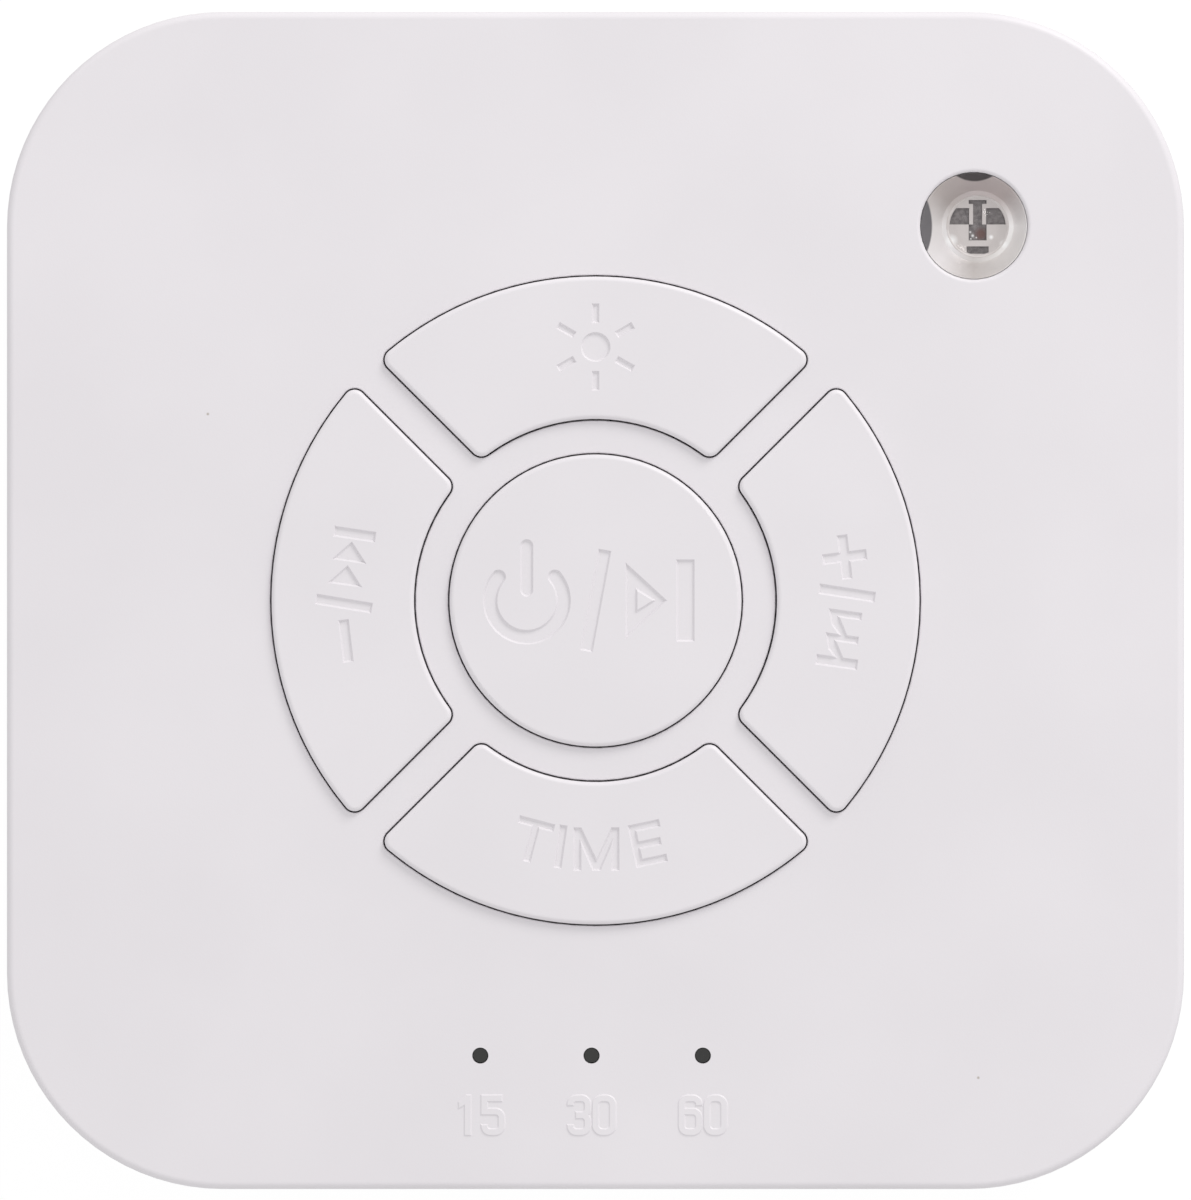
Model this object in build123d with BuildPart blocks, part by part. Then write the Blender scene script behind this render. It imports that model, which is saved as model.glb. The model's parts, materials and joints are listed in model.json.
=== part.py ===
from build123d import *
import os
from math import cos, radians, sin, sqrt

# Rechargeable white noise sound machine, in millimetres.
# The origin is the centre of its footprint on the surface it stands on:
# +X right, +Y to the back where the sockets are, +Z up through the buttons.

# Housing
body_width = 96.0
corner_radius = 17.6
top_height = 52.0
wall = 2.2
top_plate = 2.0
base_plate = 2.2
top_edge_radius = 0.6
base_edge_radius = 1.5
parting_height = 17.0
parting_groove = 0.4
lip_height = 2.0
lip_thickness = 1.05
lip_clearance = 0.1

# Rubber feet
foot_radius = 5.0
foot_proud = 2.5
foot_recess = 1.0
foot_clearance = 0.15
foot_inset = 18.0
foot_edge_radius = 0.6

# Case screws and the pillars they pull together
pillar_radius = 3.25
pillar_wall_gap = 0.7
base_boss_top = 10.0
base_boss_wall = 1.3
case_screw_radius = 1.5
case_screw_length = 12.0
case_screw_head_radius = 2.75
case_screw_head_height = 2.0
case_screw_seat = 3.0
thread_clearance = 0.05
shank_clearance = 0.2
head_clearance = 0.45

# Cross recess of every screw, as shares of its head
recess_span = 0.55
recess_slot = 0.14
recess_depth = 0.6

# Keypad
keypad_radius = 26.4
segment_inner_radius = 14.8
centre_button_radius = 11.9
segment_side_inset = 1.47
segment_corner_radius = 0.9
button_gap = 0.13
button_proud = 0.6
button_edge_radius = 0.38
opening_edge_radius = 0.12
button_travel = 0.4
cap_thickness = 1.8
skirt_thickness = 1.2
flange_reach = 0.8
flange_thickness = 1.0
flange_clearance = 0.1
post_radius = 2.0
post_reach = 20.8

# Legends: engraved on the buttons, raised beside the timer lights
engraving_depth = 0.2
engraving_draft = 36.0
legend_radius = 20.5
legend_stroke = 0.88
legend_height = 3.45
minus_length = 3.5
slash_length = 4.65
slash_lean = 10.5
back_half_height = 1.45
back_half_width = 0.83
plus_length = 3.65
m_leg_pitch = 1.97
m_leg_stroke = 0.64
m_leg_setback = 0.2
m_shoulder = 1.25
m_crown = 0.85
m_arch_start = -0.1
sun_disc_radius = 1.22
sun_ray_start = 1.95
sun_ray_end = 3.55
sun_ray_width = 0.62
sun_rays = 6
power_radius = 2.99
power_stroke = 1.2
power_open_angle = 100.0
power_offset = 5.6
power_bar_length = 4.7
power_bar_width = 1.06
power_bar_centre = 2.65
power_slash_width = 1.07
power_slash_length = 8.4
play_left = 2.44
play_tip = 5.83
play_height = 3.11
play_stroke = 0.98
play_point_stroke = 1.18
play_inner = 0.75
play_bar_x = 7.32
play_bar_width = 1.5
play_bar_height = 6.7
sun_lift = 0.15
timer_letter_height = 3.55
timer_letter_stroke = 0.66
letter_t_width = 3.0
letter_m_half_width = 1.55
letter_m_floor = 1.0
letter_e_width = 2.65
letter_e_setback = 0.2
numeral_height = 3.2
numeral_width = 1.85
numeral_spacing = 0.2
numeral_stroke = 0.44
numeral_round = 0.85
numeral_bend = 0.5
numeral_tail = 0.55
numeral_waist = 0.3
numeral_flag_drop = 0.55
numeral_relief = 0.09
numeral_draft = 50.0
numeral_inset = 6.05

# Places of the engraved symbols: angle from the middle of their button, turn, inset from the ring
bar_place = (-15.4, -8.5, 0.15)
arrow_places = [(-11.3, -8.0, 0.15), (-5.8, -8.0, 0.1)]
previous_slash_place = (0.7, 1.1, 0.0)
minus_place = (9.2, 6.7, -0.1)
letter_places = [(-14.8, -14.8, 0.25), (-8.1, -8.1, 0.25), (0.2, 0.2, 0.25), (12.1, 12.1, 0.25)]
m_place = (-8.75, -8.0, 0.35)
mode_slash_place = (1.7, 1.7, 0.0)
plus_place = (9.9, 7.0, -0.1)

# Timer lights
indicator_pitch = 9.07
indicator_x = -0.32
indicator_inset = 10.9
indicator_radius = 0.66
guide_pin_clearance = 0.08
guide_recess = 0.7
guide_bar_thickness = 1.5
guide_bar_depth = 3.6
guide_bar_margin = 0.5
guide_foot_radius = 1.2
guide_light_gap = 0.4
stake_radius = 0.7
stake_clearance = 0.1
stake_proud = 0.5
indicator_led_length = 2.0
indicator_led_width = 1.25
indicator_led_height = 0.8

# Night light
lamp_side_inset = 17.15
lamp_back_inset = 17.45
lens_shift_x = 0.36
lens_shift_y = 0.0
cup_outer_radius = 4.33
cup_mouth_radius = 4.28
cup_throat_radius = 2.92
cup_hole_clearance = 0.05
cup_hole_edge_radius = 0.33
cup_rim_recess = 0.3
cup_depth = 1.7
cup_flange_radius = 5.6
cup_flange_thickness = 0.8
cup_skirt = 1.2
cup_floor = 0.4
cup_floor_clearance = 0.06
lamp_lift = 0.9
lens_radius = 2.5
lens_height = 8.6
lens_flange_radius = 2.9
lens_flange_height = 1.0
lead_width = 0.5
lead_pitch = 1.27
lead_count = 4
lead_tail = 1.4
lead_hole_clearance = 0.1
frame_plate_thickness = 0.6
frame_plate_radius = 2.4
frame_field_radius = 2.3
frame_plate_height = 5.5
frame_slot_width = 0.74
frame_slot_length = 2.0
frame_slot_head = 1.46
frame_head_height = 0.32
frame_window_width = 1.62
frame_window_height = 1.34
frame_window_x = 1.5
frame_bar_back = 0.16
frame_foot_width = 1.8
frame_foot_front = 1.63
frame_foot_length = 0.6
frame_pocket_width = 1.46
frame_pocket_length = 1.3
frame_field_depth = 0.35

# Control board under the buttons
control_board_gap = 3.8
control_board_chamfer = 14.0
board_thickness = 1.6
control_board_drop = 7.0
control_screw_inset = 8.0
control_screw_y = 19.0
control_boss_radius = 2.6
board_screw_radius = 1.0
board_screw_length = 5.0
board_screw_head_radius = 1.9
board_screw_head_height = 1.3

# Tact switches
switch_width = 6.0
switch_housing_height = 3.2
switch_cover_thickness = 0.3
switch_height = 5.0
switch_floor = 1.6
switch_pocket_radius = 2.5
dome_radius = 2.3
dome_rise = 0.2
dome_thickness = 0.08
plunger_radius = 1.75
plunger_flange_radius = 2.2
plunger_clearance = 0.1
switch_pin_width = 0.6
switch_pin_spread = 5.0
switch_pin_tail = 1.0

# Main board with the sockets
main_board_width = 60.0
main_board_depth = 16.5
main_board_wall_gap = 0.9
main_board_height = 8.0
main_screw_inset_x = 3.5
main_screw_inset_y = 3.0
main_boss_radius = 2.3
usb_inset = 18.0
usb_width = 8.94
usb_height = 3.26
usb_depth = 7.35
usb_shell_thickness = 0.3
usb_recess = 0.6
usb_clearance = 0.13
usb_tongue_width = 6.7
usb_tongue_thickness = 0.7
usb_tongue_recess = 0.9
jack_inset = 20.0
jack_width = 6.0
jack_height = 5.0
jack_length = 12.6
jack_barrel_radius = 2.5
jack_barrel_clearance = 0.2
jack_recess = 0.4
jack_bore_radius = 1.8
jack_bore_length = 14.0
jack_wall_gap = 0.2
connector_height = 4.0
connector_width = 6.0
connector_depth = 4.5
connector_board_inset = 1.0
connector_wall = 1.0
battery_connector_inset = 10.0
speaker_connector_inset = 28.0
link_inset = 16.0
chip_row = -0.3
chip_inset = 7.0
chip_length = 5.0
amplifier_length = 9.0
chip_depth = 4.0
chip_height = 1.6
controller_x = -20.0
controller_inset = 9.0
controller_length = 10.0
capacitor_row = 5.0
capacitor_inset = 11.0
capacitor_radius = 3.15
capacitor_height = 5.4
inductor_inset = 8.5
inductor_width = 4.0
inductor_height = 2.0

# Loudspeaker, facing down
speaker_side_room = 20.8
speaker_rim_width = 2.7
speaker_flange_thickness = 1.0
speaker_clearance = 0.3
speaker_ring_wall = 1.2
speaker_ring_height = 1.6
speaker_boss_radius = 2.3
speaker_screw_head_radius = 2.7
cloth_thickness = 0.2
cloth_inset = 0.4
gasket_width = 1.9
gasket_thickness = 0.8
basket_depth = 8.0
basket_wall = 0.8
basket_neck_radius = 14.0
basket_windows = 4
basket_window_angle = 45.0
basket_window_width = 12.0
basket_window_depth = 9.0
window_margin = 1.2
front_plate_radius = 15.0
front_plate_thickness = 2.5
magnet_radius = 16.0
magnet_thickness = 7.0
back_plate_thickness = 2.5
gap_radius = 7.7
pole_radius = 6.6
coil_radius = 7.3
coil_thickness = 0.35
coil_drop = 2.4
coil_glue = 0.1
cone_rim_lift = 0.1
cone_thickness = 0.4
surround_width = 2.9
surround_thickness = 0.35
surround_roll = 1.1
dust_cap_radius = 8.2
dust_cap_rise = 1.6
spider_radius = 13.4
spider_thickness = 0.3
spider_waves = 4
spider_wave_height = 0.45
tab_width = 8.0
tab_depth = 1.6
tab_thickness = 0.8
lug_depth = 1.4
lug_height = 0.6
grille_hole_radius = 0.9
grille_pitch = 3.8
grille_rings = 5
grille_ring_step = 6

# Rechargeable cell
cell_radius = 9.0
cell_length = 50.0
sleeve_thickness = 0.15
sleeve_clearance = 0.03
sleeve_end_inset = 0.8
cell_edge_radius = 0.7
cell_wall_gap = 0.8
cradle_clearance = 0.2
cradle_thickness = 2.0
cradle_height = 7.0
cradle_spacing = 34.0
foam_gap = 0.5
foam_width = 8.0
foam_length = 24.0
cell_board_thickness = 1.0
cell_board_width = 12.0
cell_board_height = 5.0
cell_board_gap = 0.2
stop_gap = 0.6
stop_thickness = 1.6
stop_width = 8.0

# Wiring
lead_wire_radius = 0.6
lead_spacing = 2.0
lead_bend_radius = 3.0
speaker_lead_bend = 0.4
lead_lane_gap = 5.8
lead_turn = 6.0
lead_loop_height = 5.0
link_straight = 4.8
link_bow = 3.5
link_bend_radius = 4.0
ribbon_width = 8.0
ribbon_thickness = 0.8

# Heights and widths that follow from the sizes above
inner_width = body_width - 2 * wall
inner_radius = corner_radius - wall
front_edge = -body_width / 2
lamp_x = body_width / 2 - lamp_side_inset
lamp_y = body_width / 2 - lamp_back_inset
lens_x = lamp_x + lens_shift_x
lens_y = lamp_y + lens_shift_y
indicator_y = front_edge + indicator_inset
numeral_y = front_edge + numeral_inset
control_board_width = inner_width - 2 * control_board_gap
control_screw_x = control_board_width / 2 - control_screw_inset
controller_y = -control_board_width / 2 + controller_inset
plate_underside = top_height - top_plate
floor_top = foot_proud + base_plate
base_rim = parting_height - parting_groove
corner_centre = body_width / 2 - corner_radius
pillar_reach = corner_centre + (inner_radius - pillar_radius - pillar_wall_gap) / sqrt(2)
foot_reach = body_width / 2 - foot_inset
counterbore_radius = case_screw_head_radius + head_clearance
screw_seat_height = base_boss_top - case_screw_seat
cap_top = top_height + button_proud
flange_top = plate_underside - flange_clearance
flange_bottom = flange_top - flange_thickness
cap_underside = cap_top - cap_thickness
board_top = plate_underside - control_board_drop
board_bottom = board_top - board_thickness
plunger_top = board_top + switch_height
main_board_y = inner_width / 2 - main_board_wall_gap - main_board_depth / 2
main_board_top = main_board_height + board_thickness
speaker_radius = inner_width / 2 - speaker_side_room
speaker_opening_radius = speaker_radius - speaker_rim_width
cone_outer_radius = speaker_opening_radius - surround_width
gasket_bottom = floor_top + cloth_thickness
speaker_front = gasket_bottom + gasket_thickness
basket_top = speaker_front + speaker_flange_thickness + basket_depth
magnet_bottom = basket_top + front_plate_thickness
magnet_top = magnet_bottom + magnet_thickness
sleeve_radius = cell_radius + sleeve_clearance + sleeve_thickness
cell_y = -inner_width / 2 + cell_wall_gap + sleeve_radius
cell_z = floor_top + foam_gap + sleeve_radius
light_offsets = [-indicator_pitch, 0, indicator_pitch]
indicator_points = [(indicator_x + offset, indicator_y) for offset in light_offsets]
stake_points = [(indicator_x + side * indicator_pitch / 2, indicator_y) for side in (-1, 1)]
pillar_points = [(x * pillar_reach, y * pillar_reach) for x in (-1, 1) for y in (-1, 1)]
foot_points = [(x * foot_reach, y * foot_reach) for x in (-1, 1) for y in (-1, 1)]
control_screw_points = [(x * control_screw_x, y * control_screw_y) for x in (-1, 1) for y in (-1, 1)]
main_screw_x = main_board_width / 2 - main_screw_inset_x
main_screw_y = main_board_depth / 2 - main_screw_inset_y
main_screw_points = [(x * main_screw_x, main_board_y + y * main_screw_y) for x in (-1, 1) for y in (-1, 1)]
board_left, board_right = -main_board_width / 2, main_board_width / 2
usb_x = board_left + usb_inset
link_x = board_left + link_inset
chip_x = board_left + chip_inset
inductor_x = board_left + inductor_inset
jack_x = board_right - jack_inset
battery_connector_x = board_right - battery_connector_inset
speaker_connector_x = board_right - speaker_connector_inset
socket_middle = (usb_x + jack_x) / 2
capacitor_places = [socket_middle, board_right - capacitor_inset]
speaker_boss_reach = (speaker_radius + speaker_clearance + speaker_boss_radius) / sqrt(2)
speaker_boss_points = [(x * speaker_boss_reach, y * speaker_boss_reach) for x in (-1, 1) for y in (-1, 1)]

# Where each button of the ring faces, as an angle from the back of the machine
ring_buttons = {"light": 0, "previous_volume_down": 90, "timer": 180, "mode_volume_up": 270}
switch_points = [(0, 0)] + [
    (-post_reach * sin(radians(angle)), post_reach * cos(radians(angle)))
    for angle in ring_buttons.values()
]

# How a rectangle sits on its point
from_front = (Align.CENTER, Align.MIN)
from_back = (Align.CENTER, Align.MAX)


# A horizontal plane at a height, turned about the vertical axis.
def level(height, angle=0.0):
    turned = (cos(radians(angle)), sin(radians(angle)), 0)
    return Plane(origin=(0, 0, height), x_dir=turned, z_dir=(0, 0, 1))


# A horizontal plane for a symbol on a button that faces an angle: x runs along the ring.
def legend_plane(facing, place):
    angle, turn, inset = place
    spot, heading = radians(90 + facing + angle), radians(90 + facing + turn)
    radius = legend_radius - inset
    corner = (radius * cos(spot), radius * sin(spot), cap_top)
    return Plane(origin=corner, x_dir=(-sin(heading), cos(heading), 0), z_dir=(0, 0, 1))


# Points facing down at a height, for holes that are drilled from below.
def from_below(points, height):
    return [Plane(origin=(x, y, height), x_dir=(1, 0, 0), z_dir=(0, 0, -1)) for x, y in points]


# Outline of the round centre button, grown all round.
def centre_outline(grow):
    with BuildSketch() as outline:
        Circle(centre_button_radius + grow)
    return outline.sketch


# Outline of a ring button that faces +Y, grown all round.
def segment_outline(grow):
    apex = (segment_side_inset - grow) * sqrt(2)
    reach = keypad_radius + flange_reach
    with BuildSketch() as outline:
        Circle(keypad_radius + grow)
        Circle(segment_inner_radius - grow, mode=Mode.SUBTRACT)
        with BuildLine():
            Polyline((0, apex), (reach, reach + apex), (-reach, reach + apex), close=True)
        make_face(mode=Mode.INTERSECT)
        fillet(outline.vertices(), max(segment_corner_radius + grow, button_edge_radius))
    return outline.sketch


# A hollow button cap with a retaining flange and a post that presses the switch.
def button_cap(outline, facing, post_distance):
    with BuildPart() as cap:
        with BuildSketch(level(flange_bottom, facing)):
            add(outline(button_gap + flange_reach))
        extrude(amount=flange_thickness)
        with BuildSketch(level(flange_bottom, facing)):
            add(outline(0))
        extrude(amount=cap_top - flange_bottom)
        fillet(cap.faces().sort_by(Axis.Z)[-1].edges(), button_edge_radius)
        with BuildSketch(level(flange_bottom, facing)):
            add(outline(-skirt_thickness))
        extrude(amount=cap_underside - flange_bottom, mode=Mode.SUBTRACT)
        with BuildSketch(level(plunger_top, facing)):
            with Locations((0, post_distance)):
                Circle(post_radius)
        extrude(amount=cap_underside - plunger_top)
    return cap.part


# An upright bar, leaning over to the right.
def bar_glyph(length, width, lean=0.0):
    with BuildSketch() as glyph:
        Rectangle(width, length, rotation=-lean)
    return glyph.sketch


# A solid arrowhead that points back along the line.
def back_glyph():
    left, right = -back_half_width, back_half_width
    with BuildSketch() as glyph:
        with BuildLine():
            Polyline((left, 0), (right, back_half_height), (right, -back_half_height), close=True)
        make_face()
    return glyph.sketch


def plus_glyph():
    with BuildSketch() as glyph:
        Rectangle(plus_length, legend_stroke)
        Rectangle(legend_stroke, plus_length)
    return glyph.sketch


# The strokes of a small m: a stem, and two arches that each rise from the leg before it and end in a leg.
def m_strokes():
    half_stroke = m_leg_stroke / 2
    foot = m_leg_setback - legend_height / 2
    with BuildSketch() as stem:
        with Locations((-m_leg_pitch, 0)):
            Rectangle(legend_stroke, legend_height)
    strokes = [stem.sketch]
    for start in (-m_leg_pitch, 0):
        leg = start + m_leg_pitch
        with BuildSketch() as arch:
            with BuildLine():
                Polyline(
                    (start, m_arch_start),
                    (start + m_leg_pitch / 2, m_crown),
                    (leg + half_stroke, m_shoulder),
                    (leg + half_stroke, m_shoulder - m_leg_stroke),
                    (start, m_arch_start - m_leg_stroke),
                    close=True,
                )
            make_face()
        with BuildSketch() as upright:
            with Locations((leg, foot)):
                Rectangle(m_leg_stroke, m_shoulder - half_stroke - foot, align=from_front)
        strokes += [arch.sketch, upright.sketch]
    return strokes


def letter_t():
    with BuildSketch() as glyph:
        Rectangle(timer_letter_stroke, timer_letter_height)
        with Locations((0, (timer_letter_height - timer_letter_stroke) / 2)):
            Rectangle(letter_t_width, timer_letter_stroke)
    return glyph.sketch


def letter_i():
    with BuildSketch() as glyph:
        Rectangle(timer_letter_stroke, timer_letter_height)
    return glyph.sketch


def letter_m():
    leg = letter_m_half_width
    half_stroke = timer_letter_stroke / 2
    half_height = timer_letter_height / 2
    with BuildSketch() as glyph:
        with Locations((-leg, 0), (leg, 0)):
            Rectangle(timer_letter_stroke, timer_letter_height)
        with BuildLine():
            Polyline(
                (-leg - half_stroke, half_height),
                (-leg + half_stroke, half_height),
                (0, -half_height + letter_m_floor),
                (leg - half_stroke, half_height),
                (leg + half_stroke, half_height),
                (half_stroke, -half_height),
                (-half_stroke, -half_height),
                close=True,
            )
        make_face()
    return glyph.sketch


def letter_e():
    arm = (timer_letter_height - timer_letter_stroke) / 2
    with BuildSketch() as glyph:
        with Locations((-(letter_e_width - timer_letter_stroke) / 2, 0)):
            Rectangle(timer_letter_stroke, timer_letter_height)
        with Locations((0, arm), (0, -arm)):
            Rectangle(letter_e_width, timer_letter_stroke)
        with Locations((-letter_e_setback / 2, 0)):
            Rectangle(letter_e_width - letter_e_setback, timer_letter_stroke)
    return glyph.sketch


# One numeral of the timer scale, drawn in its cell.
def numeral(figure):
    half_width = (numeral_width - numeral_stroke) / 2
    half_height = (numeral_height - numeral_stroke) / 2
    half_stroke = numeral_stroke / 2
    with BuildSketch() as glyph:
        if figure == "0":
            loop_width, loop_height = 2 * half_width, 2 * half_height
            outer_corner = numeral_round * numeral_width / 2
            inner_corner = outer_corner - numeral_stroke
            RectangleRounded(loop_width + numeral_stroke, loop_height + numeral_stroke, outer_corner)
            hole_width, hole_height = loop_width - numeral_stroke, loop_height - numeral_stroke
            RectangleRounded(hole_width, hole_height, inner_corner, mode=Mode.SUBTRACT)
        if figure == "1":
            head = numeral_height / 2
            flag = head - numeral_flag_drop
            with BuildLine():
                Polyline(
                    (half_stroke, -head),
                    (half_stroke, head),
                    (-half_stroke / 2, head),
                    (-half_width, flag),
                    (-half_width, flag - numeral_stroke),
                    (-half_stroke, flag - numeral_stroke / 3),
                    (-half_stroke, -head),
                    close=True,
                )
            make_face()
        if figure == "3":
            for side in (1, -1):
                with BuildLine():
                    FilletPolyline(
                        (-half_width, side * (half_height - numeral_tail)),
                        (-half_width, side * half_height),
                        (half_width, side * half_height),
                        (half_width, 0),
                        (-half_width / 3, 0),
                        radius=numeral_bend,
                    )
                trace(line_width=numeral_stroke)
        if figure == "5":
            neck = numeral_waist - half_stroke
            with BuildLine():
                Polyline((half_width, half_height), (-half_width, half_height), (-half_width, neck))
            trace(line_width=numeral_stroke)
            with BuildLine():
                FilletPolyline(
                    (-half_width, numeral_waist),
                    (half_width, numeral_waist),
                    (half_width, -half_height),
                    (-half_width, -half_height),
                    (-half_width, -half_height + numeral_tail),
                    radius=numeral_bend,
                )
            trace(line_width=numeral_stroke)
        if figure == "6":
            with BuildLine():
                FilletPolyline(
                    (half_width, half_height - numeral_tail),
                    (half_width, half_height),
                    (-half_width, half_height),
                    (-half_width, -half_height),
                    (half_width, -half_height),
                    (half_width, numeral_waist),
                    (-half_width, numeral_waist),
                    radius=numeral_bend,
                )
            trace(line_width=numeral_stroke)
    return glyph.sketch


# A set of pan head screws on one seat height; pointing is 1 for tips up and -1 for tips down.
def screw_set(points, seat, pointing, head_radius, head_height, shank_radius, shank_length):
    with BuildPart() as screws:
        with BuildSketch(level(seat)):
            with Locations(*points):
                Circle(head_radius)
        extrude(amount=-pointing * head_height)
        with BuildSketch(level(seat)):
            with Locations(*points):
                Circle(shank_radius)
        extrude(amount=pointing * shank_length)
        with BuildSketch(level(seat - pointing * head_height)):
            with Locations(*points):
                Rectangle(2 * head_radius * recess_span, 2 * head_radius * recess_slot)
                Rectangle(2 * head_radius * recess_slot, 2 * head_radius * recess_span)
        extrude(amount=pointing * head_height * recess_depth, mode=Mode.SUBTRACT)
    return screws


# Lower shell: floor with the sound holes, screw bosses, board bosses and the cell cradle.
port_plane = Plane.XZ.offset(-inner_width / 2)
usb_z = main_board_top + usb_height / 2
jack_z = main_board_top + jack_height / 2
stop_distance = cell_length / 2 + cell_board_gap + cell_board_thickness + stop_gap

with BuildPart() as base_shell:
    with BuildSketch(level(foot_proud)):
        RectangleRounded(body_width, body_width, corner_radius)
    extrude(amount=base_rim - foot_proud)
    fillet(base_shell.faces().sort_by(Axis.Z)[0].edges(), base_edge_radius)
    with BuildSketch(level(floor_top)):
        RectangleRounded(inner_width, inner_width, inner_radius)
    extrude(amount=parting_height, mode=Mode.SUBTRACT)
    with BuildSketch(level(base_rim)):
        lip_width = inner_width + 2 * lip_thickness
        RectangleRounded(lip_width, lip_width, inner_radius + lip_thickness)
        RectangleRounded(inner_width, inner_width, inner_radius, mode=Mode.SUBTRACT)
    extrude(amount=parting_groove + lip_height)
    with BuildSketch(level(floor_top)):
        with Locations(*pillar_points):
            Circle(counterbore_radius + base_boss_wall)
        mid_wall_width, mid_wall_radius = inner_width + wall, inner_radius + wall / 2
        RectangleRounded(mid_wall_width, mid_wall_width, mid_wall_radius, mode=Mode.INTERSECT)
    extrude(amount=base_boss_top - floor_top)
    with BuildSketch(level(floor_top)):
        Circle(speaker_radius + speaker_clearance + speaker_ring_wall)
        Circle(speaker_radius + speaker_clearance, mode=Mode.SUBTRACT)
    extrude(amount=speaker_ring_height)
    with BuildSketch(level(floor_top)):
        with Locations(*speaker_boss_points):
            Circle(speaker_boss_radius)
    extrude(amount=speaker_front + speaker_flange_thickness - floor_top)
    with BuildSketch(level(floor_top)):
        with Locations(*main_screw_points):
            Circle(main_boss_radius)
    extrude(amount=main_board_height - floor_top)
    for side in (-1, 1):
        with BuildSketch(Plane.YZ.offset(side * cradle_spacing / 2)):
            with Locations((cell_y, floor_top + cradle_height / 2)):
                Rectangle(2 * (sleeve_radius + cradle_thickness), cradle_height)
            with Locations((-inner_width / 2 - wall / 2 - cell_radius, floor_top + cradle_height / 2)):
                Rectangle(2 * cell_radius, 2 * cradle_height, mode=Mode.SUBTRACT)
            with Locations((cell_y, cell_z)):
                Circle(sleeve_radius + cradle_clearance, mode=Mode.SUBTRACT)
        extrude(amount=cradle_thickness / 2, both=True)
    with BuildSketch(level(floor_top)):
        with Locations(*[(side * (stop_distance + stop_thickness / 2), cell_y) for side in (-1, 1)]):
            Rectangle(stop_thickness, stop_width)
    extrude(amount=cradle_height)
    with BuildSketch(level(foot_proud)):
        Circle(grille_hole_radius)
        for ring in range(1, grille_rings + 1):
            with PolarLocations(ring * grille_pitch, grille_ring_step * ring):
                Circle(grille_hole_radius)
    extrude(amount=base_plate, mode=Mode.SUBTRACT)
    with Locations(*from_below(pillar_points, foot_proud)):
        CounterBoreHole(
            case_screw_radius + shank_clearance,
            counterbore_radius,
            screw_seat_height - foot_proud,
            base_boss_top - foot_proud,
        )
    with Locations(*from_below(foot_points, foot_proud)):
        Hole(foot_radius + foot_clearance, foot_recess)
    with Locations(*[(x, y, main_board_height) for x, y in main_screw_points]):
        Hole(board_screw_radius + thread_clearance, board_screw_length - board_thickness + thread_clearance)
    with Locations(*[(x, y, speaker_front + speaker_flange_thickness) for x, y in speaker_boss_points]):
        Hole(board_screw_radius + thread_clearance, speaker_front + speaker_flange_thickness - floor_top)
    with BuildSketch(port_plane):
        with Locations((usb_x, usb_z)):
            SlotOverall(usb_width + 2 * usb_clearance, usb_height + 2 * usb_clearance)
        with Locations((jack_x, jack_z)):
            Circle(jack_barrel_radius + jack_barrel_clearance)
    extrude(amount=-wall, mode=Mode.SUBTRACT)

with BuildPart() as rubber_feet:
    with BuildSketch(level(0)):
        with Locations(*foot_points):
            Circle(foot_radius)
    extrude(amount=foot_proud + foot_recess)
    fillet(rubber_feet.faces().group_by(Axis.Z)[0].edges(), foot_edge_radius)

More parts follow.
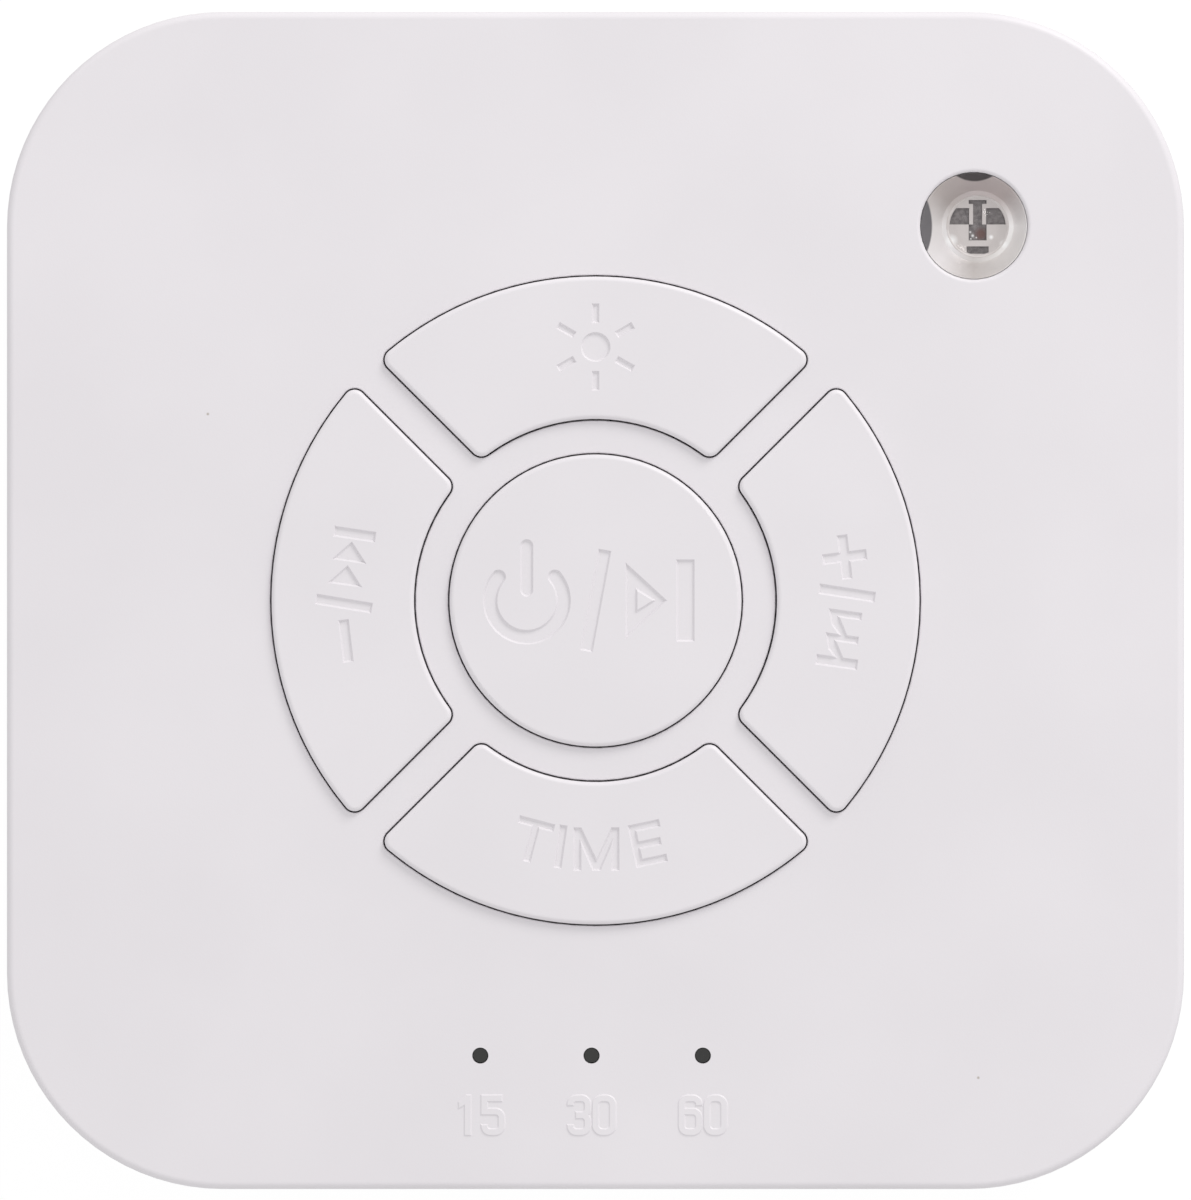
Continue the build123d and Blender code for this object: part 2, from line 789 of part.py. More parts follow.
# Upper shell: a deep cover with the button openings, the lamp hole and the raised numerals.
with BuildPart() as top_shell:
    with BuildSketch(level(parting_height)):
        RectangleRounded(body_width, body_width, corner_radius)
    extrude(amount=top_height - parting_height)
    fillet(top_shell.faces().sort_by(Axis.Z)[-1].edges(), top_edge_radius)
    with BuildSketch(level(parting_height)):
        RectangleRounded(inner_width, inner_width, inner_radius)
    extrude(amount=plate_underside - parting_height, mode=Mode.SUBTRACT)
    with BuildSketch(level(parting_height)):
        rebate = lip_thickness + lip_clearance
        rebate_width = inner_width + 2 * rebate
        RectangleRounded(rebate_width, rebate_width, inner_radius + rebate)
    extrude(amount=lip_height + lip_clearance, mode=Mode.SUBTRACT)
    with BuildSketch(level(base_boss_top)):
        with Locations(*pillar_points):
            Circle(pillar_radius)
    extrude(amount=plate_underside - base_boss_top)
    with BuildSketch(level(board_top)):
        with Locations(*control_screw_points):
            Circle(control_boss_radius)
    extrude(amount=control_board_drop)
    with BuildSketch(level(plate_underside)):
        with Locations(*stake_points):
            Circle(stake_radius)
    extrude(amount=-(guide_bar_thickness + stake_proud))
    with Locations(*from_below(pillar_points, base_boss_top)):
        Hole(case_screw_radius + thread_clearance, case_screw_length)
    with Locations(*from_below(control_screw_points, board_top)):
        Hole(board_screw_radius + thread_clearance, board_screw_length)
    with BuildSketch(level(plate_underside)):
        add(centre_outline(button_gap))
    extrude(amount=top_plate, mode=Mode.SUBTRACT)
    for facing in ring_buttons.values():
        with BuildSketch(level(plate_underside, facing)):
            add(segment_outline(button_gap))
        extrude(amount=top_plate, mode=Mode.SUBTRACT)
    keypad_middle = Vector(0, 0, top_height)
    keypad_reach = keypad_radius + flange_reach
    top_edges = top_shell.edges().group_by(Axis.Z)[-1]
    keypad_edges = top_edges.filter_by(lambda edge: (edge.center() - keypad_middle).length < keypad_reach)
    fillet(keypad_edges, opening_edge_radius)
    with BuildSketch(level(plate_underside)):
        with Locations((lamp_x, lamp_y)):
            Circle(cup_outer_radius + cup_hole_clearance)
        with Locations(*indicator_points):
            Circle(indicator_radius)
    extrude(amount=top_plate, mode=Mode.SUBTRACT)
    lamp_rim = top_shell.edges().filter_by(GeomType.CIRCLE).group_by(Axis.Z)[-1]
    lamp_rim = lamp_rim.sort_by_distance((lamp_x, lamp_y, top_height))[0]
    fillet(lamp_rim, cup_hole_edge_radius)
    for place, number in zip(indicator_points, ("15", "30", "60")):
        for side, figure in zip((-1, 1), number):
            shift = side * (numeral_width + numeral_spacing) / 2
            with BuildSketch(Plane(origin=(place[0] + shift, numeral_y, top_height + numeral_relief))):
                add(numeral(figure))
            extrude(amount=-numeral_relief, taper=-numeral_draft)

with BuildPart() as control_board:
    with BuildSketch(level(board_bottom)):
        board_outline = Rectangle(control_board_width, control_board_width)
        chamfer(board_outline.vertices(), control_board_chamfer)
        with Locations(*control_screw_points):
            Circle(board_screw_radius + shank_clearance, mode=Mode.SUBTRACT)
        with Locations((lens_x, lens_y)):
            with GridLocations(lead_pitch, 0, lead_count, 1):
                Circle(lead_width / sqrt(2) + lead_hole_clearance, mode=Mode.SUBTRACT)
        with Locations(*switch_points):
            with GridLocations(switch_pin_spread, switch_pin_spread, 2, 2):
                Circle(switch_pin_width / sqrt(2) + lead_hole_clearance, mode=Mode.SUBTRACT)
    extrude(amount=board_thickness)

# Button caps. Each symbol of a legend is a list of strokes, cut one by one.
bar = bar_glyph(legend_height, legend_stroke)
slash = bar_glyph(slash_length, legend_stroke, slash_lean)
minus = bar_glyph(legend_stroke, minus_length)
letters = [letter_t(), letter_i(), letter_m(), letter_e()]
legends = {
    "previous_volume_down": [
        (bar_place, [bar]),
        *[(place, [back_glyph()]) for place in arrow_places],
        (previous_slash_place, [slash]),
        (minus_place, [minus]),
    ],
    "timer": [(place, [letter]) for place, letter in zip(letter_places, letters)],
    "mode_volume_up": [(m_place, m_strokes()), (mode_slash_place, [slash]), (plus_place, [plus_glyph()])],
}

with BuildPart() as button_power_play:
    add(button_cap(centre_outline, 0, 0))
    with BuildSketch(level(cap_top)):
        with Locations((-power_offset, 0)):
            start_angle = 90 + power_open_angle / 2
            SlotArc(CenterArc((0, 0), power_radius, start_angle, 360 - power_open_angle), power_stroke)
        with Locations((-power_offset, power_bar_centre)):
            SlotOverall(power_bar_length, power_bar_width, rotation=90)
        Rectangle(power_slash_width, power_slash_length, rotation=-slash_lean)
        with BuildLine():
            Polyline((play_left, play_height), (play_left, -play_height), (play_tip, 0), close=True)
        make_face()
        with BuildLine():
            inner_left = play_left + play_stroke
            inner_tip = play_tip - play_point_stroke
            Polyline((inner_left, play_inner), (inner_left, -play_inner), (inner_tip, 0), close=True)
        make_face(mode=Mode.SUBTRACT)
        with Locations((play_bar_x, 0)):
            Rectangle(play_bar_width, play_bar_height)
    extrude(amount=-engraving_depth, taper=engraving_draft, mode=Mode.SUBTRACT)

with BuildPart() as button_light:
    add(button_cap(segment_outline, ring_buttons["light"], post_reach))
    with BuildSketch(Plane(origin=(0, legend_radius + sun_lift, cap_top))):
        Circle(sun_disc_radius)
        with PolarLocations((sun_ray_start + sun_ray_end) / 2, sun_rays, 90):
            Rectangle(sun_ray_end - sun_ray_start, sun_ray_width)
    extrude(amount=-engraving_depth, taper=engraving_draft, mode=Mode.SUBTRACT)

lettered_buttons = {}
for name, symbols in legends.items():
    with BuildPart() as lettered_button:
        add(button_cap(segment_outline, ring_buttons[name], post_reach))
        for place, strokes in symbols:
            for stroke in strokes:
                with BuildSketch(legend_plane(ring_buttons[name], place)):
                    add(stroke)
                extrude(amount=-engraving_depth, taper=engraving_draft, mode=Mode.SUBTRACT)
    lettered_buttons[name] = lettered_button

# Tact switches: housing, snap dome, plunger, cover and pins
dome_seat = board_top + switch_floor
dome_top = dome_seat + dome_rise
cover_bottom = board_top + switch_housing_height

with BuildPart() as switch_housings:
    with BuildSketch(level(board_top)):
        with Locations(*switch_points):
            Rectangle(switch_width, switch_width)
    extrude(amount=switch_housing_height)
    with BuildSketch(level(dome_seat)):
        with Locations(*switch_points):
            Circle(switch_pocket_radius)
    extrude(amount=cover_bottom - dome_seat, mode=Mode.SUBTRACT)
    with BuildSketch(level(board_top)):
        with Locations(*switch_points):
            with GridLocations(switch_pin_spread, switch_pin_spread, 2, 2):
                Rectangle(switch_pin_width, switch_pin_width)
    extrude(amount=switch_floor / 2, mode=Mode.SUBTRACT)

with BuildPart() as switch_domes:
    with BuildSketch(Plane.XZ) as dome_profile:
        with BuildLine():
            outside = ThreePointArc(
                (-dome_radius, dome_seat + dome_thickness),
                (0, dome_top),
                (dome_radius, dome_seat + dome_thickness),
            )
            Line(outside @ 1, (dome_radius, dome_seat))
            ThreePointArc(
                (dome_radius, dome_seat),
                (0, dome_top - dome_thickness),
                (-dome_radius, dome_seat),
            )
            Line((-dome_radius, dome_seat), outside @ 0)
        make_face()
        Rectangle(dome_radius, 2 * top_height, align=(Align.MAX, Align.CENTER), mode=Mode.SUBTRACT)
    revolve(axis=Axis.Z)
dome = switch_domes.part
with BuildPart() as switch_domes:
    with Locations(*switch_points):
        add(dome)

with BuildPart() as switch_covers:
    with BuildSketch(level(cover_bottom)):
        with Locations(*switch_points):
            Rectangle(switch_width, switch_width)
            Circle(plunger_radius + plunger_clearance, mode=Mode.SUBTRACT)
    extrude(amount=switch_cover_thickness)

with BuildPart() as switch_pins:
    with BuildSketch(level(board_bottom - switch_pin_tail)):
        with Locations(*switch_points):
            with GridLocations(switch_pin_spread, switch_pin_spread, 2, 2):
                Rectangle(switch_pin_width, switch_pin_width)
    extrude(amount=switch_pin_tail + board_thickness + switch_floor / 2)

plungers = {}
plunger_flange_bottom = dome_top + button_travel + plunger_clearance / 2
plunger_flange_top = cover_bottom - plunger_clearance
for name, place in zip(["power_play", *ring_buttons], switch_points):
    with BuildPart() as plunger:
        with BuildSketch(level(plunger_flange_bottom)):
            with Locations(place):
                Circle(plunger_flange_radius)
        extrude(amount=plunger_flange_top - plunger_flange_bottom)
        with BuildSketch(level(plunger_flange_top)):
            with Locations(place):
                Circle(plunger_radius)
        extrude(amount=plunger_top - plunger_flange_top)
    plungers[name] = plunger

control_screws = screw_set(
    control_screw_points,
    board_bottom,
    1,
    board_screw_head_radius,
    board_screw_head_height,
    board_screw_radius,
    board_screw_length,
)
case_screws = screw_set(
    pillar_points,
    screw_seat_height,
    1,
    case_screw_head_radius,
    case_screw_head_height,
    case_screw_radius,
    case_screw_length,
)
main_board_screws = screw_set(
    main_screw_points,
    main_board_top,
    -1,
    board_screw_head_radius,
    board_screw_head_height,
    board_screw_radius,
    board_screw_length,
)
speaker_screws = screw_set(
    speaker_boss_points,
    speaker_front + speaker_flange_thickness,
    -1,
    speaker_screw_head_radius,
    board_screw_head_height,
    board_screw_radius,
    speaker_front + speaker_flange_thickness - floor_top - thread_clearance,
)

# Timer lights: lamps on the board and one clear guide with a pin for each hole
with BuildPart() as indicator_leds:
    with BuildSketch(level(board_top)):
        with Locations(*indicator_points):
            Rectangle(indicator_led_length, indicator_led_width)
    extrude(amount=indicator_led_height)

with BuildPart() as indicator_light_guide:
    with BuildSketch(level(plate_underside - guide_bar_thickness)):
        with Locations((indicator_x, indicator_y)):
            SlotOverall(2 * (indicator_pitch + guide_bar_margin) + guide_bar_depth, guide_bar_depth)
        with Locations(*stake_points):
            Circle(stake_radius + stake_clearance, mode=Mode.SUBTRACT)
    extrude(amount=guide_bar_thickness)
    with BuildSketch(level(plate_underside)):
        with Locations(*indicator_points):
            Circle(indicator_radius - guide_pin_clearance)
    extrude(amount=top_plate - guide_recess)
    with BuildSketch(level(board_top + indicator_led_height + guide_light_gap)):
        with Locations(*indicator_points):
            Circle(guide_foot_radius)
    extrude(until=Until.NEXT)

# Night light: bright cup pressed in the plate, and a clear lamp with its metal frame
cup_rim = top_height - cup_rim_recess
cup_throat = cup_rim - cup_depth
cup_foot = cup_throat - cup_skirt
lamp_seat = board_top + lamp_lift
with BuildPart() as reflector_cup:
    with BuildSketch(level(cup_foot)):
        with Locations((lamp_x, lamp_y)):
            Circle(cup_outer_radius)
    extrude(amount=cup_rim - cup_foot)
    with BuildSketch(level(plate_underside)):
        with Locations((lamp_x, lamp_y)):
            Circle(cup_flange_radius)
    extrude(amount=-cup_flange_thickness)
    with BuildSketch(level(cup_rim)):
        with Locations((lamp_x, lamp_y)):
            Circle(cup_mouth_radius)
    with BuildSketch(level(cup_throat)):
        with Locations((lens_x, lens_y)):
            Circle(cup_throat_radius)
    loft(mode=Mode.SUBTRACT)
    with BuildSketch(level(cup_throat)):
        with Locations((lens_x, lens_y)):
            Circle(lens_radius + cup_floor_clearance)
    extrude(amount=-cup_floor, mode=Mode.SUBTRACT)
    with BuildSketch(level(cup_throat - cup_floor)):
        with Locations((lens_x, lens_y)):
            Circle(cup_throat_radius)
    extrude(amount=cup_floor - cup_skirt, mode=Mode.SUBTRACT)

# The plate in the lamp: a crossbar and two flags stand out, the fields between them are pressed in
frame_plate_bottom = lamp_seat + frame_plate_height
with BuildPart() as night_light_leadframe:
    with BuildSketch(level(board_bottom - lead_tail)):
        with Locations((lens_x, lens_y)):
            with GridLocations(lead_pitch, 0, lead_count, 1):
                Rectangle(lead_width, lead_width)
    extrude(amount=frame_plate_bottom - board_bottom + lead_tail)
    with BuildSketch(level(frame_plate_bottom)):
        with Locations((lens_x, lens_y)):
            Circle(frame_plate_radius)
    extrude(amount=frame_plate_thickness)
    with BuildSketch(Plane(origin=(lens_x, lens_y, frame_plate_bottom + frame_plate_thickness))):
        with Locations((0, frame_bar_back)):
            Rectangle(frame_slot_width, frame_slot_length, align=from_front)
            Rectangle(frame_pocket_width, frame_pocket_length, align=from_back)
        with Locations((0, frame_bar_back + frame_slot_length)):
            Rectangle(frame_slot_head, frame_head_height, align=from_back)
        with Locations((-frame_window_x, frame_bar_back), (frame_window_x, frame_bar_back)):
            Rectangle(frame_window_width, frame_window_height, align=from_front)
        with Locations((0, -frame_foot_front)):
            Rectangle(frame_foot_width, frame_foot_length, align=from_back)
        Circle(frame_field_radius, mode=Mode.INTERSECT)
    extrude(amount=-frame_field_depth, mode=Mode.SUBTRACT)

lens_top = lamp_seat + lens_height
with BuildPart() as night_light_lens:
    with BuildSketch(level(lamp_seat)):
        with Locations((lens_x, lens_y)):
            Circle(lens_flange_radius)
    extrude(amount=lens_flange_height)
    with BuildSketch(Plane(origin=(lens_x, lens_y, 0), x_dir=(1, 0, 0), z_dir=(0, -1, 0))):
        with BuildLine():
            Line((0, lamp_seat), (lens_radius, lamp_seat))
            Line((lens_radius, lamp_seat), (lens_radius, lens_top - lens_radius))
            RadiusArc((lens_radius, lens_top - lens_radius), (0, lens_top), -lens_radius)
            Line((0, lens_top), (0, lamp_seat))
        make_face()
    revolve(axis=Axis((lens_x, lens_y, 0), (0, 0, 1)))
    add(night_light_leadframe.part, mode=Mode.SUBTRACT)

# Main board and what stands on it
with BuildPart() as main_board:
    with BuildSketch(level(main_board_height)):
        with Locations((0, main_board_y)):
            Rectangle(main_board_width, main_board_depth)
        with Locations(*main_screw_points):
            Circle(board_screw_radius + shank_clearance, mode=Mode.SUBTRACT)
    extrude(amount=board_thickness)

usb_front = body_width / 2 - usb_recess
usb_plane = Plane.XZ.offset(-usb_front)
with BuildPart() as usb_socket_shell:
    with BuildSketch(usb_plane):
        with Locations((usb_x, usb_z)):
            SlotOverall(usb_width, usb_height)
    extrude(amount=usb_depth)
    with BuildSketch(usb_plane):
        with Locations((usb_x, usb_z)):
            SlotOverall(usb_width - 2 * usb_shell_thickness, usb_height - 2 * usb_shell_thickness)
    extrude(amount=usb_depth - usb_shell_thickness, mode=Mode.SUBTRACT)

with BuildPart() as usb_socket_tongue:
    with BuildSketch(usb_plane.offset(usb_tongue_recess)):
        with Locations((usb_x, usb_z)):
            Rectangle(usb_tongue_width, usb_tongue_thickness)
    extrude(amount=usb_depth - usb_shell_thickness - usb_tongue_recess)

jack_front = body_width / 2 - jack_recess
jack_shoulder = inner_width / 2 - jack_wall_gap
with BuildPart() as headphone_jack:
    with BuildSketch(Plane.XZ.offset(-jack_shoulder)):
        with Locations((jack_x, jack_z)):
            Rectangle(jack_width, jack_height)
    extrude(amount=jack_length)
    with BuildSketch(Plane.XZ.offset(-jack_front)):
        with Locations((jack_x, jack_z)):
            Circle(jack_barrel_radius)
    extrude(amount=jack_front - jack_shoulder)
    with BuildSketch(Plane.XZ.offset(-jack_front)):
        with Locations((jack_x, jack_z)):
            Circle(jack_bore_radius)
    extrude(amount=jack_bore_length, mode=Mode.SUBTRACT)

# Connectors: three on the main board, one under the control board
connector_y = main_board_y - (main_board_depth - connector_depth) / 2 + connector_board_inset
link_connector_width = ribbon_width + 2 * connector_wall
with BuildPart() as board_connectors:
    with BuildSketch(level(main_board_top)):
        with Locations((battery_connector_x, connector_y), (speaker_connector_x, connector_y)):
            Rectangle(connector_width, connector_depth)
        with Locations((link_x, connector_y)):
            Rectangle(link_connector_width, connector_depth)
    extrude(amount=connector_height)
    with BuildSketch(level(board_bottom)):
        with Locations((link_x, connector_y)):
            Rectangle(link_connector_width, connector_depth)
    extrude(amount=-connector_height)

with BuildPart() as circuit_chips:
    with BuildSketch(level(main_board_top)):
        with Locations((socket_middle, main_board_y + chip_row)):
            Rectangle(amplifier_length, chip_depth)
        with Locations((chip_x, main_board_y + chip_row)):
            Rectangle(chip_length, chip_depth)
    extrude(amount=chip_height)
    with BuildSketch(level(board_top)):
        with Locations((controller_x, controller_y)):
            Rectangle(controller_length, chip_depth)
    extrude(amount=chip_height)

with BuildPart() as capacitors:
    with BuildSketch(level(main_board_top)):
        with Locations(*[(x, main_board_y + capacitor_row) for x in capacitor_places]):
            Circle(capacitor_radius)
    extrude(amount=capacitor_height)
    fillet(capacitors.faces().group_by(Axis.Z)[-1].edges(), capacitor_radius / 8)

with BuildPart() as inductor:
    with BuildSketch(level(main_board_top)):
        with Locations((inductor_x, main_board_y + capacitor_row)):
            RectangleRounded(inductor_width, inductor_width, inductor_width / 6)
    extrude(amount=inductor_height)

# Loudspeaker, from the sound holes upwards
flange_face = speaker_front + speaker_flange_thickness
with BuildPart() as grille_cloth:
    with BuildSketch(level(floor_top)):
        Circle(speaker_radius - cloth_inset)
    extrude(amount=cloth_thickness)

with BuildPart() as speaker_gasket:
    with BuildSketch(level(gasket_bottom)):
        Circle(speaker_radius)
        Circle(speaker_radius - gasket_width, mode=Mode.SUBTRACT)
    extrude(amount=gasket_thickness)

with BuildPart() as speaker_basket:
    with BuildSketch(Plane.XZ):
        with BuildLine():
            Polyline(
                (speaker_opening_radius, speaker_front),
                (speaker_radius, speaker_front),
                (speaker_radius, flange_face),
                (speaker_opening_radius + basket_wall, flange_face),
                (basket_neck_radius + basket_wall, basket_top),
                (gap_radius, basket_top),
                (gap_radius, basket_top - basket_wall),
                (basket_neck_radius, basket_top - basket_wall),
                (speaker_opening_radius, flange_face),
                close=True,
            )
        make_face()
    revolve(axis=Axis.Z)
    window_middle = (basket_neck_radius + speaker_opening_radius) / 2
    with BuildSketch(level(flange_face)):
        with PolarLocations(window_middle, basket_windows, basket_window_angle):
            Rectangle(basket_window_depth, basket_window_width)
    extrude(amount=basket_depth - basket_wall - window_margin, mode=Mode.SUBTRACT)

with BuildPart() as speaker_front_plate:
    with BuildSketch(level(basket_top)):
        Circle(front_plate_radius)
        Circle(gap_radius, mode=Mode.SUBTRACT)
    extrude(amount=front_plate_thickness)

with BuildPart() as speaker_magnet:
    with BuildSketch(level(magnet_bottom)):
        Circle(magnet_radius)
        Circle(gap_radius + basket_wall, mode=Mode.SUBTRACT)
    extrude(amount=magnet_thickness)
    magnet_rims = speaker_magnet.faces().filter_by(Axis.Z).edges()
    chamfer(magnet_rims.filter_by(lambda edge: edge.radius > gap_radius + 1), basket_wall / 2)

with BuildPart() as speaker_yoke:
    with BuildSketch(level(magnet_top)):
        Circle(front_plate_radius)
    extrude(amount=back_plate_thickness)
    with BuildSketch(level(basket_top)):
        Circle(pole_radius)
    extrude(amount=magnet_top - basket_top)

coil_top = basket_top + front_plate_thickness
cone_neck = basket_top - coil_drop
cone_rim = speaker_front + cone_rim_lift
with BuildPart() as speaker_voice_coil:
    with BuildSketch(level(cone_neck)):
        Circle(coil_radius)
        Circle(coil_radius - coil_thickness, mode=Mode.SUBTRACT)
    extrude(amount=coil_top - cone_neck)

with BuildPart() as speaker_cone:
    with BuildSketch(Plane.XZ):
        with BuildLine():
            Polyline(
                (coil_radius + coil_glue, cone_neck),
                (cone_outer_radius, cone_rim),
                (cone_outer_radius, cone_rim + cone_thickness),
                (coil_radius + coil_glue, cone_neck + cone_thickness),
                close=True,
            )
        make_face()
    revolve(axis=Axis.Z)

with BuildPart() as speaker_surround:
    roll_inner = cone_outer_radius + coil_glue
    roll_middle = (roll_inner + speaker_opening_radius) / 2
    with BuildSketch(Plane.XZ):
        with BuildLine():
            lower = ThreePointArc(
                (roll_inner, cone_rim),
                (roll_middle, cone_rim + surround_roll),
                (speaker_opening_radius - coil_glue, cone_rim),
            )
            Line(lower @ 1, lower @ 1 + Vector(0, surround_thickness))
            ThreePointArc(
                (speaker_opening_radius - coil_glue, cone_rim + surround_thickness),
                (roll_middle, cone_rim + surround_roll + surround_thickness),
                (roll_inner, cone_rim + surround_thickness),
            )
            Line((roll_inner, cone_rim + surround_thickness), lower @ 0)
        make_face()
    revolve(axis=Axis.Z)

with BuildPart() as speaker_dust_cap:
    cap_edge = cone_neck - (cone_neck - cone_rim) * (dust_cap_radius - coil_radius) / (
        cone_outer_radius - coil_radius
    )
    cap_seat = cap_edge - coil_glue
    with BuildSketch(Plane.XZ):
        with BuildLine():
            crown = ThreePointArc(
                (-dust_cap_radius, cap_seat),
                (0, cap_seat - dust_cap_rise),
                (dust_cap_radius, cap_seat),
            )
            Line(crown @ 1, crown @ 0)
        make_face()
        with BuildLine():
            hollow = ThreePointArc(
                (-dust_cap_radius + cone_thickness, cap_seat),
                (0, cap_seat - dust_cap_rise + cone_thickness),
                (dust_cap_radius - cone_thickness, cap_seat),
            )
            Line(hollow @ 1, hollow @ 0)
        make_face(mode=Mode.SUBTRACT)
        Rectangle(dust_cap_radius, 2 * top_height, align=(Align.MAX, Align.CENTER), mode=Mode.SUBTRACT)
    revolve(axis=Axis.Z)

with BuildPart() as speaker_spider:
    spider_inner = coil_radius + coil_glue
    wave_length = (spider_radius - spider_inner) / spider_waves
    spider_z = basket_top - basket_wall - spider_thickness - spider_wave_height - coil_glue
    crest = spider_z + spider_wave_height
    with BuildSketch(Plane.XZ):
        with BuildLine():
            for wave in range(spider_waves):
                start = spider_inner + wave * wave_length
                Line((start, spider_z), (start + wave_length / 2, crest))
                Line((start + wave_length / 2, crest), (start + wave_length, spider_z))
                upper = spider_z + spider_thickness
                Line((start, upper), (start + wave_length / 2, crest + spider_thickness))
                Line((start + wave_length / 2, crest + spider_thickness), (start + wave_length, upper))
            Line((spider_inner, spider_z), (spider_inner, upper))
            Line((spider_radius, spider_z), (spider_radius, upper))
        make_face()
    revolve(axis=Axis.Z)

# A fibre tab with two solder lugs on the rim of the basket
tab_y = (speaker_opening_radius + basket_wall + speaker_radius) / 2
with BuildPart() as speaker_terminals:
    with BuildSketch(level(flange_face)):
        with Locations((0, tab_y)):
            Rectangle(tab_width, tab_depth)
    extrude(amount=tab_thickness)
    with BuildSketch(level(flange_face + tab_thickness)):
        with Locations(*[(side * tab_width / 4, tab_y) for side in (-1, 1)]):
            Rectangle(tab_depth, lug_depth)
    extrude(amount=lug_height)

# Rechargeable cell in its cradle
with BuildPart() as battery_cell:
    with BuildSketch(Plane.YZ):
        with Locations((cell_y, cell_z)):
            Circle(cell_radius)
    extrude(amount=cell_length / 2, both=True)
    fillet(battery_cell.edges().filter_by(GeomType.CIRCLE), cell_edge_radius)

with BuildPart() as battery_sleeve:
    with BuildSketch(Plane.YZ):
        with Locations((cell_y, cell_z)):
            Circle(sleeve_radius)
            Circle(sleeve_radius - sleeve_thickness, mode=Mode.SUBTRACT)
    extrude(amount=cell_length / 2 - sleeve_end_inset, both=True)

with BuildPart() as battery_protection_board:
    with BuildSketch(Plane.YZ.offset(cell_length / 2 + cell_board_gap)):
        with Locations((cell_y, cell_z)):
            Rectangle(cell_board_width, cell_board_height)
    extrude(amount=cell_board_thickness)

with BuildPart() as battery_foam_pad:
    with BuildSketch(Plane.YZ):
        with Locations((cell_y, floor_top)):
            Rectangle(foam_width, 3 * foam_gap, align=(Align.CENTER, Align.MIN))
        with Locations((cell_y, cell_z)):
            Circle(sleeve_radius + sleeve_clearance, mode=Mode.SUBTRACT)
    extrude(amount=foam_length / 2, both=True)


# A round lead along straight runs joined by tangent arcs.
def wire(points, bend_radius):
    with BuildPart() as lead:
        with BuildLine() as route:
            FilletPolyline(*points, radius=bend_radius)
        with BuildSketch(Plane(origin=route.line @ 0, z_dir=route.line % 0)):
            Circle(lead_wire_radius)
        sweep()
    return lead.part


board_face = cell_length / 2 + cell_board_gap + cell_board_thickness
lead_lane_x = board_face + lead_lane_gap
connector_top = main_board_top + connector_height
with BuildPart() as battery_leads:
    for side in (-1, 1):
        across = side * lead_spacing / 2
        rise = connector_top + lead_loop_height
        add(
            wire(
                [
                    (board_face, cell_y + across, cell_z),
                    (lead_lane_x - across, cell_y + across, cell_z),
                    (lead_lane_x - across, connector_y - lead_turn - across, rise),
                    (battery_connector_x - across, connector_y, rise),
                    (battery_connector_x - across, connector_y, connector_top),
                ],
                lead_bend_radius,
            )
        )

with BuildPart() as speaker_leads:
    lug_top = flange_face + tab_thickness + lug_height
    lug_run = connector_y - tab_y
    for side in (-1, 1):
        across = side * lead_spacing / 2
        rise = connector_top + lead_loop_height
        add(
            wire(
                [
                    (side * tab_width / 4, tab_y, lug_top),
                    (side * tab_width / 4, tab_y, rise),
                    (speaker_connector_x + across, connector_y, rise + lead_spacing),
                    (speaker_connector_x + across, connector_y, connector_top),
                ],
                speaker_lead_bend * lug_run,
            )
        )

with BuildPart() as board_link_cable:
    link_bottom = connector_top
    link_top = board_bottom - connector_height
    link_middle = (link_bottom + link_top) / 2
    with BuildLine(Plane.YZ.offset(link_x)) as link_route:
        FilletPolyline(
            (connector_y, link_bottom),
            (connector_y, link_bottom + link_straight),
            (connector_y + link_bow, link_middle),
            (connector_y, link_top - link_straight),
            (connector_y, link_top),
            radius=link_bend_radius,
        )
    with BuildSketch(Plane(origin=(link_x, connector_y, link_bottom))):
        Rectangle(ribbon_width, ribbon_thickness)
    sweep()

pieces = {
    "top_shell": top_shell,
    "base_shell": base_shell,
    "rubber_feet": rubber_feet,
    "case_screws": case_screws,
    "button_power_play": button_power_play,
    "button_light": button_light,
    **{"button_" + name: piece for name, piece in lettered_buttons.items()},
    **{"switch_plunger_" + name: piece for name, piece in plungers.items()},
    "switch_housings": switch_housings,
    "switch_covers": switch_covers,
    "switch_domes": switch_domes,
    "switch_pins": switch_pins,
    "control_board": control_board,
    "control_board_screws": control_screws,
    "indicator_leds": indicator_leds,
    "indicator_light_guide": indicator_light_guide,
    "reflector_cup": reflector_cup,
    "night_light_lens": night_light_lens,
    "night_light_leadframe": night_light_leadframe,
    "main_board": main_board,
    "main_board_screws": main_board_screws,
    "usb_socket_shell": usb_socket_shell,
    "usb_socket_tongue": usb_socket_tongue,
    "headphone_jack": headphone_jack,
    "board_connectors": board_connectors,
    "circuit_chips": circuit_chips,
    "capacitors": capacitors,
    "inductor": inductor,
    "grille_cloth": grille_cloth,
    "speaker_gasket": speaker_gasket,
    "speaker_basket": speaker_basket,
    "speaker_front_plate": speaker_front_plate,
    "speaker_magnet": speaker_magnet,
    "speaker_yoke": speaker_yoke,
    "speaker_voice_coil": speaker_voice_coil,
    "speaker_spider": speaker_spider,
    "speaker_cone": speaker_cone,
    "speaker_surround": speaker_surround,
    "speaker_dust_cap": speaker_dust_cap,
    "speaker_terminals": speaker_terminals,
    "speaker_screws": speaker_screws,
    "battery_cell": battery_cell,
    "battery_sleeve": battery_sleeve,
    "battery_protection_board": battery_protection_board,
    "battery_foam_pad": battery_foam_pad,
    "battery_leads": battery_leads,
    "speaker_leads": speaker_leads,
    "board_link_cable": board_link_cable,
}
os.makedirs("parts", exist_ok=True)
for label, piece in pieces.items():
    piece.part.label = label
    export_step(piece.part, f"parts/{label}.step")
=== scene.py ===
import bpy
import bmesh
import json
from math import cos, pi, radians, sin
from mathutils import Matrix, Vector


